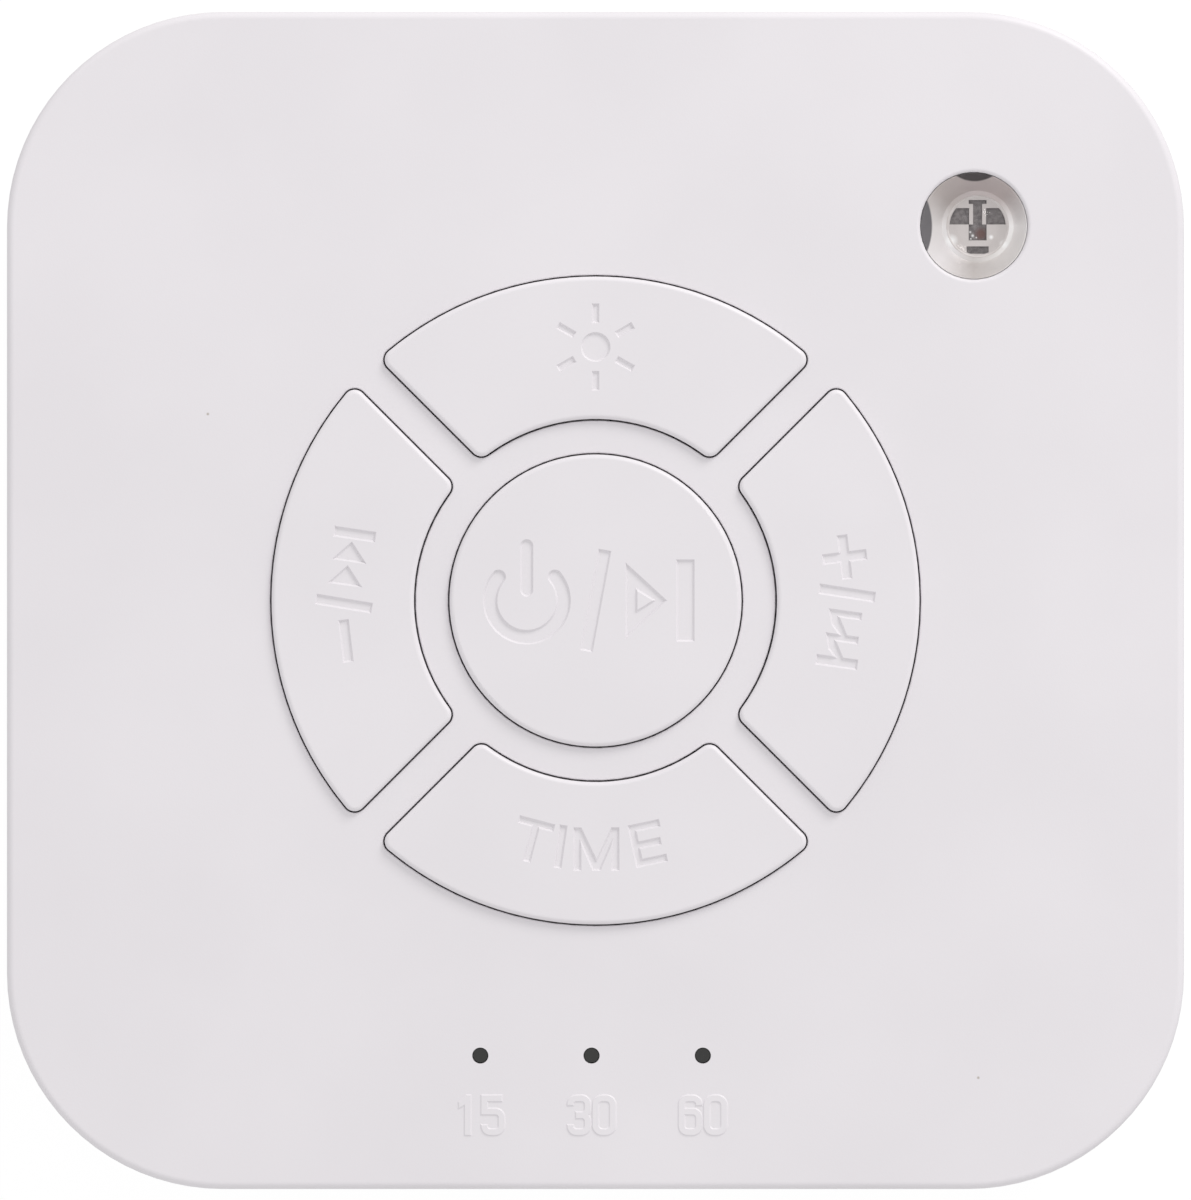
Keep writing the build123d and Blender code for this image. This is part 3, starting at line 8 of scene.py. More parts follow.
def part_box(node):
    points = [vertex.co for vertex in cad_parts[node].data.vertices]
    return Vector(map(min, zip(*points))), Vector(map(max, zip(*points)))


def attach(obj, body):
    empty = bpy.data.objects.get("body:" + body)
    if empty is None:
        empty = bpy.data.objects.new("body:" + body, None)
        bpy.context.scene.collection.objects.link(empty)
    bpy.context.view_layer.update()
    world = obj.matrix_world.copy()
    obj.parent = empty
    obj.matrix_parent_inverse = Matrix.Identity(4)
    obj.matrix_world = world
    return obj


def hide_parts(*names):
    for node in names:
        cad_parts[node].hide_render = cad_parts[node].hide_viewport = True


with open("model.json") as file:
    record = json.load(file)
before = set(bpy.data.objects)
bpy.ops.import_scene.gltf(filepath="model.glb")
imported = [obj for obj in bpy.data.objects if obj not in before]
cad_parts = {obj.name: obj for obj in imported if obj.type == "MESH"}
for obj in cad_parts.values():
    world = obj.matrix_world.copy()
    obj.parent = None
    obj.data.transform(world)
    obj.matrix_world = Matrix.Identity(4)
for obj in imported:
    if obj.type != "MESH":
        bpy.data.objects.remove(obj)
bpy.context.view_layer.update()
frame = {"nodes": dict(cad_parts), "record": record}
nodes = frame["nodes"]
print("frame: loaded", len(nodes), "nodes")

mm = 0.001


def middleOf(low, high):
    # the middle of a box, seen from above
    return Vector(((low[0] + high[0]) / 2, (low[1] + high[1]) / 2, 0))


def hexColour(code):
    values = [int(code[i:i + 2], 16) / 255 for i in (1, 3, 5)]
    linear = [v / 12.92 if v <= 0.04045 else ((v + 0.055) / 1.055) ** 2.4 for v in values]
    return (*linear, 1.0)


black, white = hexColour("#000000"), hexColour("#FFFFFF")


def setInputs(tree, node, inputs):
    # each input takes a value, or a link from another node's output
    for key, value in inputs.items():
        if isinstance(value, bpy.types.NodeSocket):
            tree.links.new(value, node.inputs[key])
        else:
            node.inputs[key].default_value = value


def addNode(tree, kind, inputs=None, settings=None, stops=None, output=0):
    # gives back one output of the new node; stops are a colour ramp's places and hex colours
    node = tree.nodes.new(kind)
    for key, value in (settings or {}).items():
        setattr(node, key, value)
    setInputs(tree, node, inputs or {})
    if stops:
        ramp = node.color_ramp.elements
        ramp.remove(ramp[-1])
        ramp[0].position, ramp[0].color = stops[0][0], hexColour(stops[0][1])
        for position, code in stops[1:]:
            ramp.new(position).color = hexColour(code)
    return node.outputs[output]


# Camera and light
camera = {
    "distance": 1000 * mm,    # from the top face
    "viewWidth": 97.08 * mm,  # of the frame, at the top face
    "aimX": 0 * mm,
    "aimY": 0.04 * mm,
    "topFace": 52 * mm,
    "sensor": 36.0,
    "nearest": 10 * mm,       # the camera sees from here
    "farthest": 20,           # to here, in metres
}
lights = {
    "azimuth": radians(58),    # the key stands behind and to the right
    "elevation": radians(28),
    "distance": 900 * mm,
    "size": 330 * mm,
    "energy": 3.4,
    "keyColour": "#FFFDFC",
    "ambient": 0.78,
    "ambientColour": "#FFFEFF",
}


def buildCamera():
    data = bpy.data.cameras.new("photoCamera")
    data.sensor_fit = "HORIZONTAL"
    data.sensor_width = camera["sensor"]
    data.lens = camera["sensor"] * camera["distance"] / camera["viewWidth"]
    data.clip_start = camera["nearest"]
    data.clip_end = camera["farthest"]
    cameraObject = bpy.data.objects.new("photoCamera", data)
    cameraObject.location = (camera["aimX"], camera["aimY"], camera["topFace"] + camera["distance"])
    bpy.context.scene.collection.objects.link(cameraObject)
    bpy.context.scene.camera = cameraObject


def buildKeyLamp():
    data = bpy.data.lights.new("keyLamp", "AREA")
    data.shape = "SQUARE"
    data.size = lights["size"]
    data.energy = lights["energy"]
    data.color = hexColour(lights["keyColour"])[:3]
    keyObject = bpy.data.objects.new("keyLamp", data)
    level = lights["distance"] * cos(lights["elevation"])
    away = Vector((
        level * cos(lights["azimuth"]),
        level * sin(lights["azimuth"]),
        lights["distance"] * sin(lights["elevation"]),
    ))
    keyObject.location = Vector((0, 0, camera["topFace"])) + away
    keyObject.rotation_euler = (-away).to_track_quat("-Z", "Y").to_euler()
    bpy.context.scene.collection.objects.link(keyObject)


def buildWorld():
    # an even light on the object, and plain white wherever the world itself is seen
    world = bpy.data.worlds.new("studio")
    world.use_nodes = True
    bpy.context.scene.world = world
    tree = world.node_tree
    rays = addNode(tree, "ShaderNodeLightPath").node.outputs
    direct = addNode(tree, "ShaderNodeMath", {0: rays["Is Camera Ray"], 1: rays["Is Transmission Ray"]},
                     {"operation": "MAXIMUM"})
    seen = addNode(tree, "ShaderNodeMath", {0: direct, 1: rays["Is Glossy Ray"]}, {"operation": "MAXIMUM"})
    even = addNode(tree, "ShaderNodeBackground",
                   {"Color": hexColour(lights["ambientColour"]), "Strength": lights["ambient"]})
    plain = addNode(tree, "ShaderNodeBackground", {"Color": white, "Strength": 1.0})
    both = addNode(tree, "ShaderNodeMixShader", {0: seen, 1: even, 2: plain})
    setInputs(tree, tree.nodes["World Output"], {"Surface": both})


buildCamera()
buildKeyLamp()
buildWorld()
bpy.context.scene.view_settings.view_transform = "Standard"
print("stage: camera and light")


# Materials start from a Principled shader and the object's own coordinates
wavePeriod = 0.314                       # width of one wave of the wave texture at scale 1
mixColour = {"data_type": "RGBA"}
mixUnder, mixOver, mixResult = 6, 7, 2   # sockets of a colour mix, where a factor of 1 shows "over"


def newMaterial(name, stretch=(1, 1, 1)):
    material = bpy.data.materials.new(name)
    material.use_nodes = True
    tree = material.node_tree
    coordinates = addNode(tree, "ShaderNodeTexCoord", output="Object")
    place = addNode(tree, "ShaderNodeMapping", {"Vector": coordinates, "Scale": stretch})
    return material, tree, tree.nodes["Principled BSDF"], place


def clouded(tree, place, size, shade, colour):
    # a slow drift between two tones, and the cloud that it follows
    cloud = addNode(tree, "ShaderNodeTexNoise", {"Vector": place, "Scale": 1 / size, "Detail": 3.0})
    tone = addNode(tree, "ShaderNodeValToRGB", {"Fac": cloud}, stops=[(0.35, shade), (0.65, colour)])
    return cloud, tone


def grained(tree, place, size, depth):
    # the normal of a finely uneven surface
    grain = addNode(tree, "ShaderNodeTexNoise", {"Vector": place, "Scale": 1 / size, "Detail": 2.0})
    return addNode(tree, "ShaderNodeBump", {"Height": grain, "Distance": depth})


def spotted(tree, place, colour, spots):
    # round spots over a colour, seen from above: x, y, radius, softness of the edge and hex colour
    flat = addNode(tree, "ShaderNodeVectorMath", {0: place, 1: (1, 1, 0)}, {"operation": "MULTIPLY"})
    for x, y, radius, soft, code in spots:
        away = addNode(tree, "ShaderNodeVectorMath", {0: flat, 1: (x, y, 0)}, {"operation": "DISTANCE"},
                       output="Value")
        mask = addNode(tree, "ShaderNodeMapRange",
                       {"Value": away, "From Min": radius + soft, "From Max": radius - soft})
        colour = addNode(tree, "ShaderNodeMix", {"Factor": mask, mixUnder: colour, mixOver: hexColour(code)},
                         mixColour, output=mixResult)
    return colour


def pastPlane(tree, place, axis, start, end):
    # 0 at the start place along an axis, 1 at the end place
    along = addNode(tree, "ShaderNodeSeparateXYZ", {"Vector": place}, output=axis)
    return addNode(tree, "ShaderNodeMapRange", {"Value": along, "From Min": start, "From Max": end})


# Floor: white paper that still holds the object's shadow
floor = {
    "size": 6.0,
    "colour": "#616161",
    "shade": "#606060",
    "grain": 1.1 * mm,
    "glow": 0.91,     # towards the camera
    "bounce": 0.6,    # towards the object
}


def studioPaper(name):
    # matt, with a faint tooth
    material, tree, shader, place = newMaterial(name)
    grain = addNode(tree, "ShaderNodeTexNoise", {"Vector": place, "Scale": 1 / floor["grain"], "Detail": 2.0})
    tone = addNode(tree, "ShaderNodeValToRGB", {"Fac": grain},
                   stops=[(0.3, floor["shade"]), (0.7, floor["colour"])])
    seen = addNode(tree, "ShaderNodeLightPath", output="Is Camera Ray")
    glow = addNode(tree, "ShaderNodeMapRange",
                   {"Value": seen, "To Min": floor["bounce"], "To Max": floor["glow"]})
    setInputs(tree, shader, {"Base Color": tone, "Roughness": 0.9, "Specular IOR Level": 0.1,
                             "Emission Color": white, "Emission Strength": glow})
    return material


def buildFloor():
    mesh = bmesh.new()
    bmesh.ops.create_grid(mesh, x_segments=1, y_segments=1, size=floor["size"] / 2)
    data = bpy.data.meshes.new("studioFloor")
    mesh.to_mesh(data)
    mesh.free()
    data.materials.append(studioPaper("studioPaper"))
    floorObject = bpy.data.objects.new("studioFloor", data)
    bpy.context.scene.collection.objects.link(floorObject)


buildFloor()
print("stage: floor")

# Housing plastic: near white ABS from a spark-eroded mould, with a pair of tiny inclusions
plastic = {
    "colour": "#E9E6E9",
    "shade": "#E6E3E6",
    "ior": 1.53,
    "shellRoughness": 0.5,
    "capRoughness": 0.42,
    "grain": 0.16 * mm,    # drawn as coarse as it needs to show
    "grainDepth": 0.004 * mm,
    "cloud": 18 * mm,
    "speckPlaces": [(-31.6 * mm, 15.2 * mm), (31.2 * mm, -38.9 * mm)],
    "speckRadius": 0.1 * mm,
    "speckColour": "#B9B2AA",
}


def mouldedAbs(name, roughness, specks):
    # soft white with slight clouding and a fine satin grain
    material, tree, shader, place = newMaterial(name)
    cloud, tone = clouded(tree, place, plastic["cloud"], plastic["shade"], plastic["colour"])
    radius = plastic["speckRadius"]
    spots = [(x, y, radius, radius / 2, plastic["speckColour"]) for x, y in specks]
    tone = spotted(tree, place, tone, spots)
    grain = grained(tree, place, plastic["grain"], plastic["grainDepth"])
    setInputs(tree, shader, {"Base Color": tone, "Roughness": roughness, "IOR": plastic["ior"],
                             "Normal": grain})
    return material


# Plain finishes, each with its cloud, grain and depth in mm; grains are as coarse as they need to show
looks = {
    # moulded silicone: dark, dry and dull
    "siliconeRubber": {"colour": "#3A3A3C", "shade": "#303032", "roughness": 0.72, "ior": 1.43,
                       "cloud": 4, "grain": 0.12, "depth": 0.006},
    # zinc plate on pressed steel: grey, half bright and a little cloudy
    "zincPlatedSteel": {"colour": "#A9ABAF", "shade": "#8F9196", "roughness": 0.32, "metallic": 1.0,
                        "cloud": 0.9, "grain": 0.08, "depth": 0.002},
    # dipped tin on stamped steel: bright and slightly warm
    "tinnedSteel": {"colour": "#D5D3CE", "shade": "#BDBBB6", "roughness": 0.24, "metallic": 1.0,
                    "cloud": 1.6, "grain": 0.1, "depth": 0.0015},
    # moulded nylon, dyed: near black with a soft gloss
    "blackNylonMoulded": {"colour": "#1C1C1D", "shade": "#141415", "roughness": 0.48, "ior": 1.53,
                          "cloud": 2.5, "grain": 0.1, "depth": 0.003},
    # moulded nylon, undyed: creamy with a soft gloss
    "ivoryNylonMoulded": {"colour": "#E4DCC6", "shade": "#D9D0B8", "roughness": 0.42, "ior": 1.53,
                          "cloud": 2.0, "grain": 0.1, "depth": 0.003},
    # moulded smoked polycarbonate: nearly black and glossy
    "smokedPolycarbonate": {"colour": "#17170F", "shade": "#10100B", "roughness": 0.16, "ior": 1.58,
                            "cloud": 3.0, "grain": 0.2, "depth": 0.0005},
    # sintered ferrite: dark grey, matt and faintly pitted
    "sinteredFerrite": {"colour": "#34353A", "shade": "#27282C", "roughness": 0.62, "ior": 2.3,
                        "cloud": 1.2, "grain": 0.06, "depth": 0.008},
    # cut foam: dark and matt, with its cells open
    "closedCellFoam": {"colour": "#3B3B3D", "shade": "#28282A", "roughness": 0.9, "ior": 1.5,
                       "cloud": 0.5, "grain": 0.16, "depth": 0.03},
    # black coating on pressed steel: smooth with a soft gloss
    "blackCoatedSteel": {"colour": "#26262A", "shade": "#1D1D20", "roughness": 0.38, "ior": 1.5,
                         "cloud": 3.0, "grain": 0.14, "depth": 0.004},
    # nickel plate on drawn steel: bright, even and slightly warm
    "nickelPlatedCan": {"colour": "#C9C6BF", "shade": "#B5B2AB", "roughness": 0.22, "metallic": 1.0,
                        "cloud": 5.0, "grain": 0.1, "depth": 0.001},
    # cast epoxy, frosted: pale and matt
    "frostedEpoxy": {"colour": "#E3DEDC", "shade": "#D3CDCA", "roughness": 0.5, "ior": 1.5,
                     "cloud": 1.5, "grain": 0.1, "depth": 0.002},
    # drawn PVC insulation: an even colour with a soft gloss
    "redWireInsulation": {"colour": "#A3201C", "shade": "#8E1A17", "roughness": 0.44, "ior": 1.54,
                          "cloud": 3.0, "grain": 0.1, "depth": 0.002},
    "greyWireInsulation": {"colour": "#77797D", "shade": "#66686C", "roughness": 0.44, "ior": 1.54,
                           "cloud": 3.0, "grain": 0.1, "depth": 0.002},
}


def plainFinish(name):
    # a clouded colour, uneven gloss and a fine grain
    look = looks[name]
    material, tree, shader, place = newMaterial(name)
    cloud, tone = clouded(tree, place, look["cloud"] * mm, look["shade"], look["colour"])
    gloss = addNode(tree, "ShaderNodeMapRange", {"Value": cloud, "From Min": 0.3, "From Max": 0.7,
                                                 "To Min": look["roughness"] * 0.85,
                                                 "To Max": look["roughness"] * 1.15})
    grain = grained(tree, place, look["grain"] * mm, look["depth"] * mm)
    setInputs(tree, shader, {"Base Color": tone, "Roughness": gloss, "Normal": grain})
    if "metallic" in look:
        setInputs(tree, shader, {"Metallic": look["metallic"]})
    else:
        setInputs(tree, shader, {"IOR": look["ior"]})
    return material


# Circuit boards: green solder mask over copper tracks, with round tinned pads
board = {
    "mask": "#0F5A32",
    "track": "#1B7A46",
    "tin": "#C9C7C0",
    "roughness": 0.3,
    "ior": 1.55,
    "trackPitch": 1.6 * mm,
    "trackWidth": 0.09,     # width and length are parts of the track pitch
    "trackLength": 3.1,
    "trackShift": 0.37,     # from row to row, as a part of the length
    "padPitch": 2.54 * mm,
    "padRadius": 0.16,      # radius and edge are parts of the pad pitch
    "padEdge": 0.02,
    "padScatter": 0.55,     # 0 is a plain grid
    "maskGap": 0.03 * mm,
}


def solderMask(name):
    # the tracks stand out as a lighter green, the pads as dull metal
    material, tree, shader, place = newMaterial(name)
    tracks = addNode(tree, "ShaderNodeTexBrick", {
        "Vector": place,
        "Color1": black,
        "Color2": black,
        "Mortar": white,
        "Scale": 1 / board["trackPitch"],
        "Mortar Size": board["trackWidth"],
        "Brick Width": board["trackLength"],
        "Row Height": 1.0,
    }, {"offset": board["trackShift"]})
    cells = addNode(tree, "ShaderNodeTexVoronoi", {
        "Vector": place,
        "Scale": 1 / board["padPitch"],
        "Randomness": board["padScatter"],
    }, output="Distance")
    pads = addNode(tree, "ShaderNodeMapRange", {
        "Value": cells,
        "From Min": board["padRadius"] + board["padEdge"],
        "From Max": board["padRadius"] - board["padEdge"],
    })
    green = addNode(tree, "ShaderNodeMix", {
        "Factor": tracks,
        mixUnder: hexColour(board["mask"]),
        mixOver: hexColour(board["track"]),
    }, mixColour, output=mixResult)
    tone = addNode(tree, "ShaderNodeMix", {
        "Factor": pads,
        mixUnder: green,
        mixOver: hexColour(board["tin"]),
    }, mixColour, output=mixResult)
    bump = addNode(tree, "ShaderNodeBump", {"Height": tracks, "Distance": board["maskGap"]})
    setInputs(tree, shader, {"Base Color": tone, "Roughness": board["roughness"], "Metallic": pads,
                             "IOR": board["ior"], "Normal": bump})
    return material


# Woven cloths: threads at right angles, drawn as coarse as they need to show
weaves = {
    "grilleCloth": {"colour": "#1B1B1C", "gap": "#060606", "pitch": 0.45 * mm, "depth": 0.06 * mm,
                    "roughness": 0.85, "ior": 1.5},
    "phenolicCloth": {"colour": "#B98A4E", "gap": "#7C5A30", "pitch": 0.6 * mm, "depth": 0.05 * mm,
                      "roughness": 0.6, "ior": 1.5},
}


def wovenCloth(name):
    # threads stand up and darker gaps lie between them
    weave = weaves[name]
    material, tree, shader, place = newMaterial(name)
    warp, weft = [
        addNode(tree, "ShaderNodeTexWave", {"Vector": place, "Scale": wavePeriod / weave["pitch"]},
                {"bands_direction": axis}, output="Fac")
        for axis in ("X", "Y")
    ]
    height = addNode(tree, "ShaderNodeMath", {0: warp, 1: weft}, {"operation": "MULTIPLY"})
    tone = addNode(tree, "ShaderNodeValToRGB", {"Fac": height},
                   stops=[(0.05, weave["gap"]), (0.4, weave["colour"])])
    bump = addNode(tree, "ShaderNodeBump", {"Height": height, "Distance": weave["depth"]})
    setInputs(tree, shader, {"Base Color": tone, "Roughness": weave["roughness"], "IOR": weave["ior"],
                             "Normal": bump})
    return material


# Speaker cone: pressed paper
paper = {
    "colour": "#2B2A28",
    "fibre": "#55524C",
    "roughness": 0.88,
    "ior": 1.5,
    "fibreSize": 0.22 * mm,
    "fibreTwist": 2.5,
    "depth": 0.02 * mm,
}


def pressedPaper(name):
    # dark and matt, with paler loose fibres
    material, tree, shader, place = newMaterial(name)
    fibres = addNode(tree, "ShaderNodeTexNoise", {"Vector": place, "Scale": 1 / paper["fibreSize"],
                                                  "Detail": 4.0, "Distortion": paper["fibreTwist"]})
    tone = addNode(tree, "ShaderNodeValToRGB", {"Fac": fibres},
                   stops=[(0.5, paper["colour"]), (0.78, paper["fibre"])])
    bump = addNode(tree, "ShaderNodeBump", {"Height": fibres, "Distance": paper["depth"]})
    setInputs(tree, shader, {"Base Color": tone, "Roughness": paper["roughness"], "IOR": paper["ior"],
                             "Normal": bump})
    return material


# Voice coil: enamelled copper wire
coil = {"colour": "#B0622E", "groove": "#4A2410", "roughness": 0.3, "turn": 0.16 * mm, "depth": 0.04 * mm}


def copperWinding(name):
    # glossy turns lie side by side with dark grooves between them
    material, tree, shader, place = newMaterial(name)
    turns = addNode(tree, "ShaderNodeTexWave", {"Vector": place, "Scale": wavePeriod / coil["turn"]},
                    {"bands_direction": "Z"}, output="Fac")
    tone = addNode(tree, "ShaderNodeValToRGB", {"Fac": turns},
                   stops=[(0.1, coil["groove"]), (0.5, coil["colour"])])
    bump = addNode(tree, "ShaderNodeBump", {"Height": turns, "Distance": coil["depth"]})
    setInputs(tree, shader, {"Base Color": tone, "Roughness": coil["roughness"], "Metallic": 1.0,
                             "Normal": bump})
    return material


# Cell sleeve: blue PVC film, shrunk on
sleeve = {
    "colour": "#2458A0",
    "shade": "#1C4884",
    "roughness": 0.25,
    "ior": 1.54,
    "wrinkle": 2.2 * mm,
    "stretch": (0.25, 1, 1),    # draws the wrinkles out along the cell
    "depth": 0.02 * mm,
}


def shrunkFilm(name):
    # glossy, with faint lengthways wrinkles
    material, tree, shader, place = newMaterial(name, sleeve["stretch"])
    wrinkles, tone = clouded(tree, place, sleeve["wrinkle"], sleeve["shade"], sleeve["colour"])
    bump = addNode(tree, "ShaderNodeBump", {"Height": wrinkles, "Distance": sleeve["depth"]})
    setInputs(tree, shader, {"Base Color": tone, "Roughness": sleeve["roughness"], "IOR": sleeve["ior"],
                             "Normal": bump})
    return material


# Ribbon cable: grey PVC strands side by side, the first one marked red
ribbon = {
    "colour": "#A7A7A3",
    "groove": "#7E7E7A",
    "mark": "#9C2A26",
    "roughness": 0.5,
    "ior": 1.54,
    "pitch": 1.0 * mm,
    "depth": 0.15 * mm,
}


def ribbonInsulation(name):
    # dull round strands with darker grooves between them
    material, tree, shader, place = newMaterial(name)
    strands = addNode(tree, "ShaderNodeTexWave", {"Vector": place, "Scale": wavePeriod / ribbon["pitch"]},
                      output="Fac")
    grey = addNode(tree, "ShaderNodeValToRGB", {"Fac": strands},
                   stops=[(0.15, ribbon["groove"]), (0.5, ribbon["colour"])])
    low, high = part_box("board_link_cable")
    first = pastPlane(tree, place, "X", low[0] + ribbon["pitch"], low[0] + ribbon["pitch"] * 0.95)
    tone = addNode(tree, "ShaderNodeMix", {
        "Factor": first,
        mixUnder: grey,
        mixOver: hexColour(ribbon["mark"]),
    }, mixColour, output=mixResult)
    bump = addNode(tree, "ShaderNodeBump", {"Height": strands, "Distance": ribbon["depth"]})
    setInputs(tree, shader, {"Base Color": tone, "Roughness": ribbon["roughness"], "IOR": ribbon["ior"],
                             "Normal": bump})
    return material


# Capacitors: a dark sleeve round a drawn aluminium can, which shows at the top
can = {
    "sleeve": "#23242C",
    "metal": "#B9BABC",
    "metalShade": "#9FA0A2",
    "roughness": 0.35,
    "lip": 0.5 * mm,
    "scratch": 0.12 * mm,
}


def capacitorCan(name):
    # a dull bright top with fine scratches, over a smooth dark side
    material, tree, shader, place = newMaterial(name)
    low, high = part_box("capacitors")
    bare = pastPlane(tree, place, "Z", high[2] - can["lip"], high[2] - can["lip"] * 0.9)
    scratches = addNode(tree, "ShaderNodeTexNoise",
                        {"Vector": place, "Scale": 1 / can["scratch"], "Detail": 2.0})
    metal = addNode(tree, "ShaderNodeValToRGB", {"Fac": scratches},
                    stops=[(0.3, can["metalShade"]), (0.7, can["metal"])])
    tone = addNode(tree, "ShaderNodeMix", {
        "Factor": bare,
        mixUnder: hexColour(can["sleeve"]),
        mixOver: metal,
    }, mixColour, output=mixResult)
    setInputs(tree, shader, {"Base Color": tone, "Roughness": can["roughness"], "Metallic": bare})
    return material


# USB tongue: black plastic with gilded contacts along it
tongue = {"plastic": "#151516", "gold": "#D2A54A", "roughness": 0.3, "pitch": 0.5 * mm, "depth": 0.02 * mm}


def gildedTongue(name):
    # bright gold stripes stand up from the plastic between them
    material, tree, shader, place = newMaterial(name)
    stripes = addNode(tree, "ShaderNodeTexWave", {"Vector": place, "Scale": wavePeriod / tongue["pitch"]},
                      output="Fac")
    contact = addNode(tree, "ShaderNodeMapRange", {"Value": stripes, "From Min": 0.45, "From Max": 0.55})
    tone = addNode(tree, "ShaderNodeMix", {
        "Factor": contact,
        mixUnder: hexColour(tongue["plastic"]),
        mixOver: hexColour(tongue["gold"]),
    }, mixColour, output=mixResult)
    bump = addNode(tree, "ShaderNodeBump", {"Height": contact, "Distance": tongue["depth"]})
    setInputs(tree, shader, {"Base Color": tone, "Roughness": tongue["roughness"], "Metallic": contact,
                             "Normal": bump})
    return material


# Speaker tab: brown fibre board with tinned lugs on top
lugs = {
    "fibre": "#6B4A2C",
    "fibreShade": "#54391F",
    "metal": "#CFCCC4",
    "roughness": 0.4,
    "fibreSize": 0.3 * mm,
    "lugHeight": 0.6 * mm,
}


def lugsOnFibre(name):
    # plain bright lugs over a mottled brown board
    material, tree, shader, place = newMaterial(name)
    low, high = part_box("speaker_terminals")
    lug = pastPlane(tree, place, "Z", high[2] - lugs["lugHeight"], high[2] - lugs["lugHeight"] * 0.95)
    fibres = addNode(tree, "ShaderNodeTexNoise",
                     {"Vector": place, "Scale": 1 / lugs["fibreSize"], "Detail": 4.0})
    brown = addNode(tree, "ShaderNodeValToRGB", {"Fac": fibres},
                    stops=[(0.3, lugs["fibreShade"]), (0.7, lugs["fibre"])])
    tone = addNode(tree, "ShaderNodeMix", {
        "Factor": lug,
        mixUnder: brown,
        mixOver: hexColour(lugs["metal"]),
    }, mixColour, output=mixResult)
    setInputs(tree, shader, {"Base Color": tone, "Roughness": lugs["roughness"], "Metallic": lug})
    return material


# Night light: where its cup and its frame stand, and the highlights painted inside it as soft white spots
cupMiddle = middleOf(*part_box("reflector_cup"))
frameLow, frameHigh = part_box("night_light_leadframe")
frameMiddle = middleOf(frameLow, frameHigh)
paintedGlints = {
    "colour": "#FFFFFF",
    # painted highlights: x and y from the middle of the frame, and the radius, in mm
    "spots": [
        (-2.15, -1.15, 0.6),
        (2.15, -1.45, 0.42),
        (1.1, -0.87, 0.24),
        (-0.6, -0.45, 0.12),
        (-0.4, -0.75, 0.16),
        (-0.55, -1.0, 0.1),
        (-0.1, -0.9, 0.09),
    ],
}
# the painted highlights as soft white spots, for the cup and the frame
paintedGlintSpots = [
    (frameMiddle.x + x * mm, frameMiddle.y + y * mm, radius * mm / 2, radius * mm / 2, paintedGlints["colour"])
    for x, y, radius in paintedGlints["spots"]
]

# Reflector cup: satin silvered plastic with painted light and shade round its wall and two painted dark
# reflections at its rim
cup = {
    # painted light and shade of the wall, every 45 degrees, from the right over the back
    "paintedLightAndShade": ["#FFFDFC", "#CAC0BE", "#C8BEBD", "#BEB6B3", "#E2DFDE", "#E6E3E4", "#CEC9C6", "#E9E6E4"],
    "metallic": 0.3,
    "roughness": 0.36,
    # painted dark reflections at the rim: x and y from the middle of the cup, and the radius, in mm
    "paintedDarkReflections": [(-8.71, 0, 5.32, "#706E71"), (0.08, 6.61, 2.95, "#524E4F")],
    "darkReflectionEdge": 0.05 * mm,
    "ripple": 1.4 * mm,
    "rippleDepth": 0.01 * mm,
}


def silveredCup(name):
    # a pale satin wall with painted light and shade that turns round the lamp, then painted dark reflections
    # and highlights
    material, tree, shader, place = newMaterial(name)
    centred = addNode(tree, "ShaderNodeVectorMath", {0: place, 1: cupMiddle}, {"operation": "SUBTRACT"})
    turned = addNode(tree, "ShaderNodeVectorRotate", {"Vector": centred, "Angle": pi},
                     {"rotation_type": "Z_AXIS"})
    around = addNode(tree, "ShaderNodeTexGradient", {"Vector": turned}, {"gradient_type": "RADIAL"},
                     output="Fac")
    closed = cup["paintedLightAndShade"] + cup["paintedLightAndShade"][:1]
    # the painted light and shade of the wall, by its angle round the cup
    paintedWallShading = addNode(tree, "ShaderNodeValToRGB", {"Fac": around},
                   stops=[(index / len(cup["paintedLightAndShade"]), code) for index, code in enumerate(closed)])
    # painted dark reflections at the rim, then the painted highlights, over the painted wall shading
    paintedDarkReflections = [
        (cupMiddle.x + x * mm, cupMiddle.y + y * mm, radius * mm, cup["darkReflectionEdge"], code)
        for x, y, radius, code in cup["paintedDarkReflections"]
    ]
    tone = spotted(tree, place, paintedWallShading, paintedDarkReflections + paintedGlintSpots)
    ripple = grained(tree, place, cup["ripple"], cup["rippleDepth"])
    setInputs(tree, shader, {"Base Color": tone, "Roughness": cup["roughness"],
                             "Metallic": cup["metallic"], "Normal": ripple})
    return material


# Lamp frame: a silvered plate with fields pressed into it, painted dark as shade
frameLook = {
    "silver": "#CDC7C5",
    "fieldPaintedShade": "#8B8686",
    "fieldPaintedShadeDark": "#6F6A6B",
    "stain": "#6E5552",
    "metallic": 0.35,
    "roughness": 0.3,
    "lip": 0.12 * mm,
    "mottle": 0.35 * mm,
    "mottleDepth": 0.01 * mm,
    "stainPlace": (0.3 * mm, -0.6 * mm),
    "stainRadius": 0.45 * mm,
}


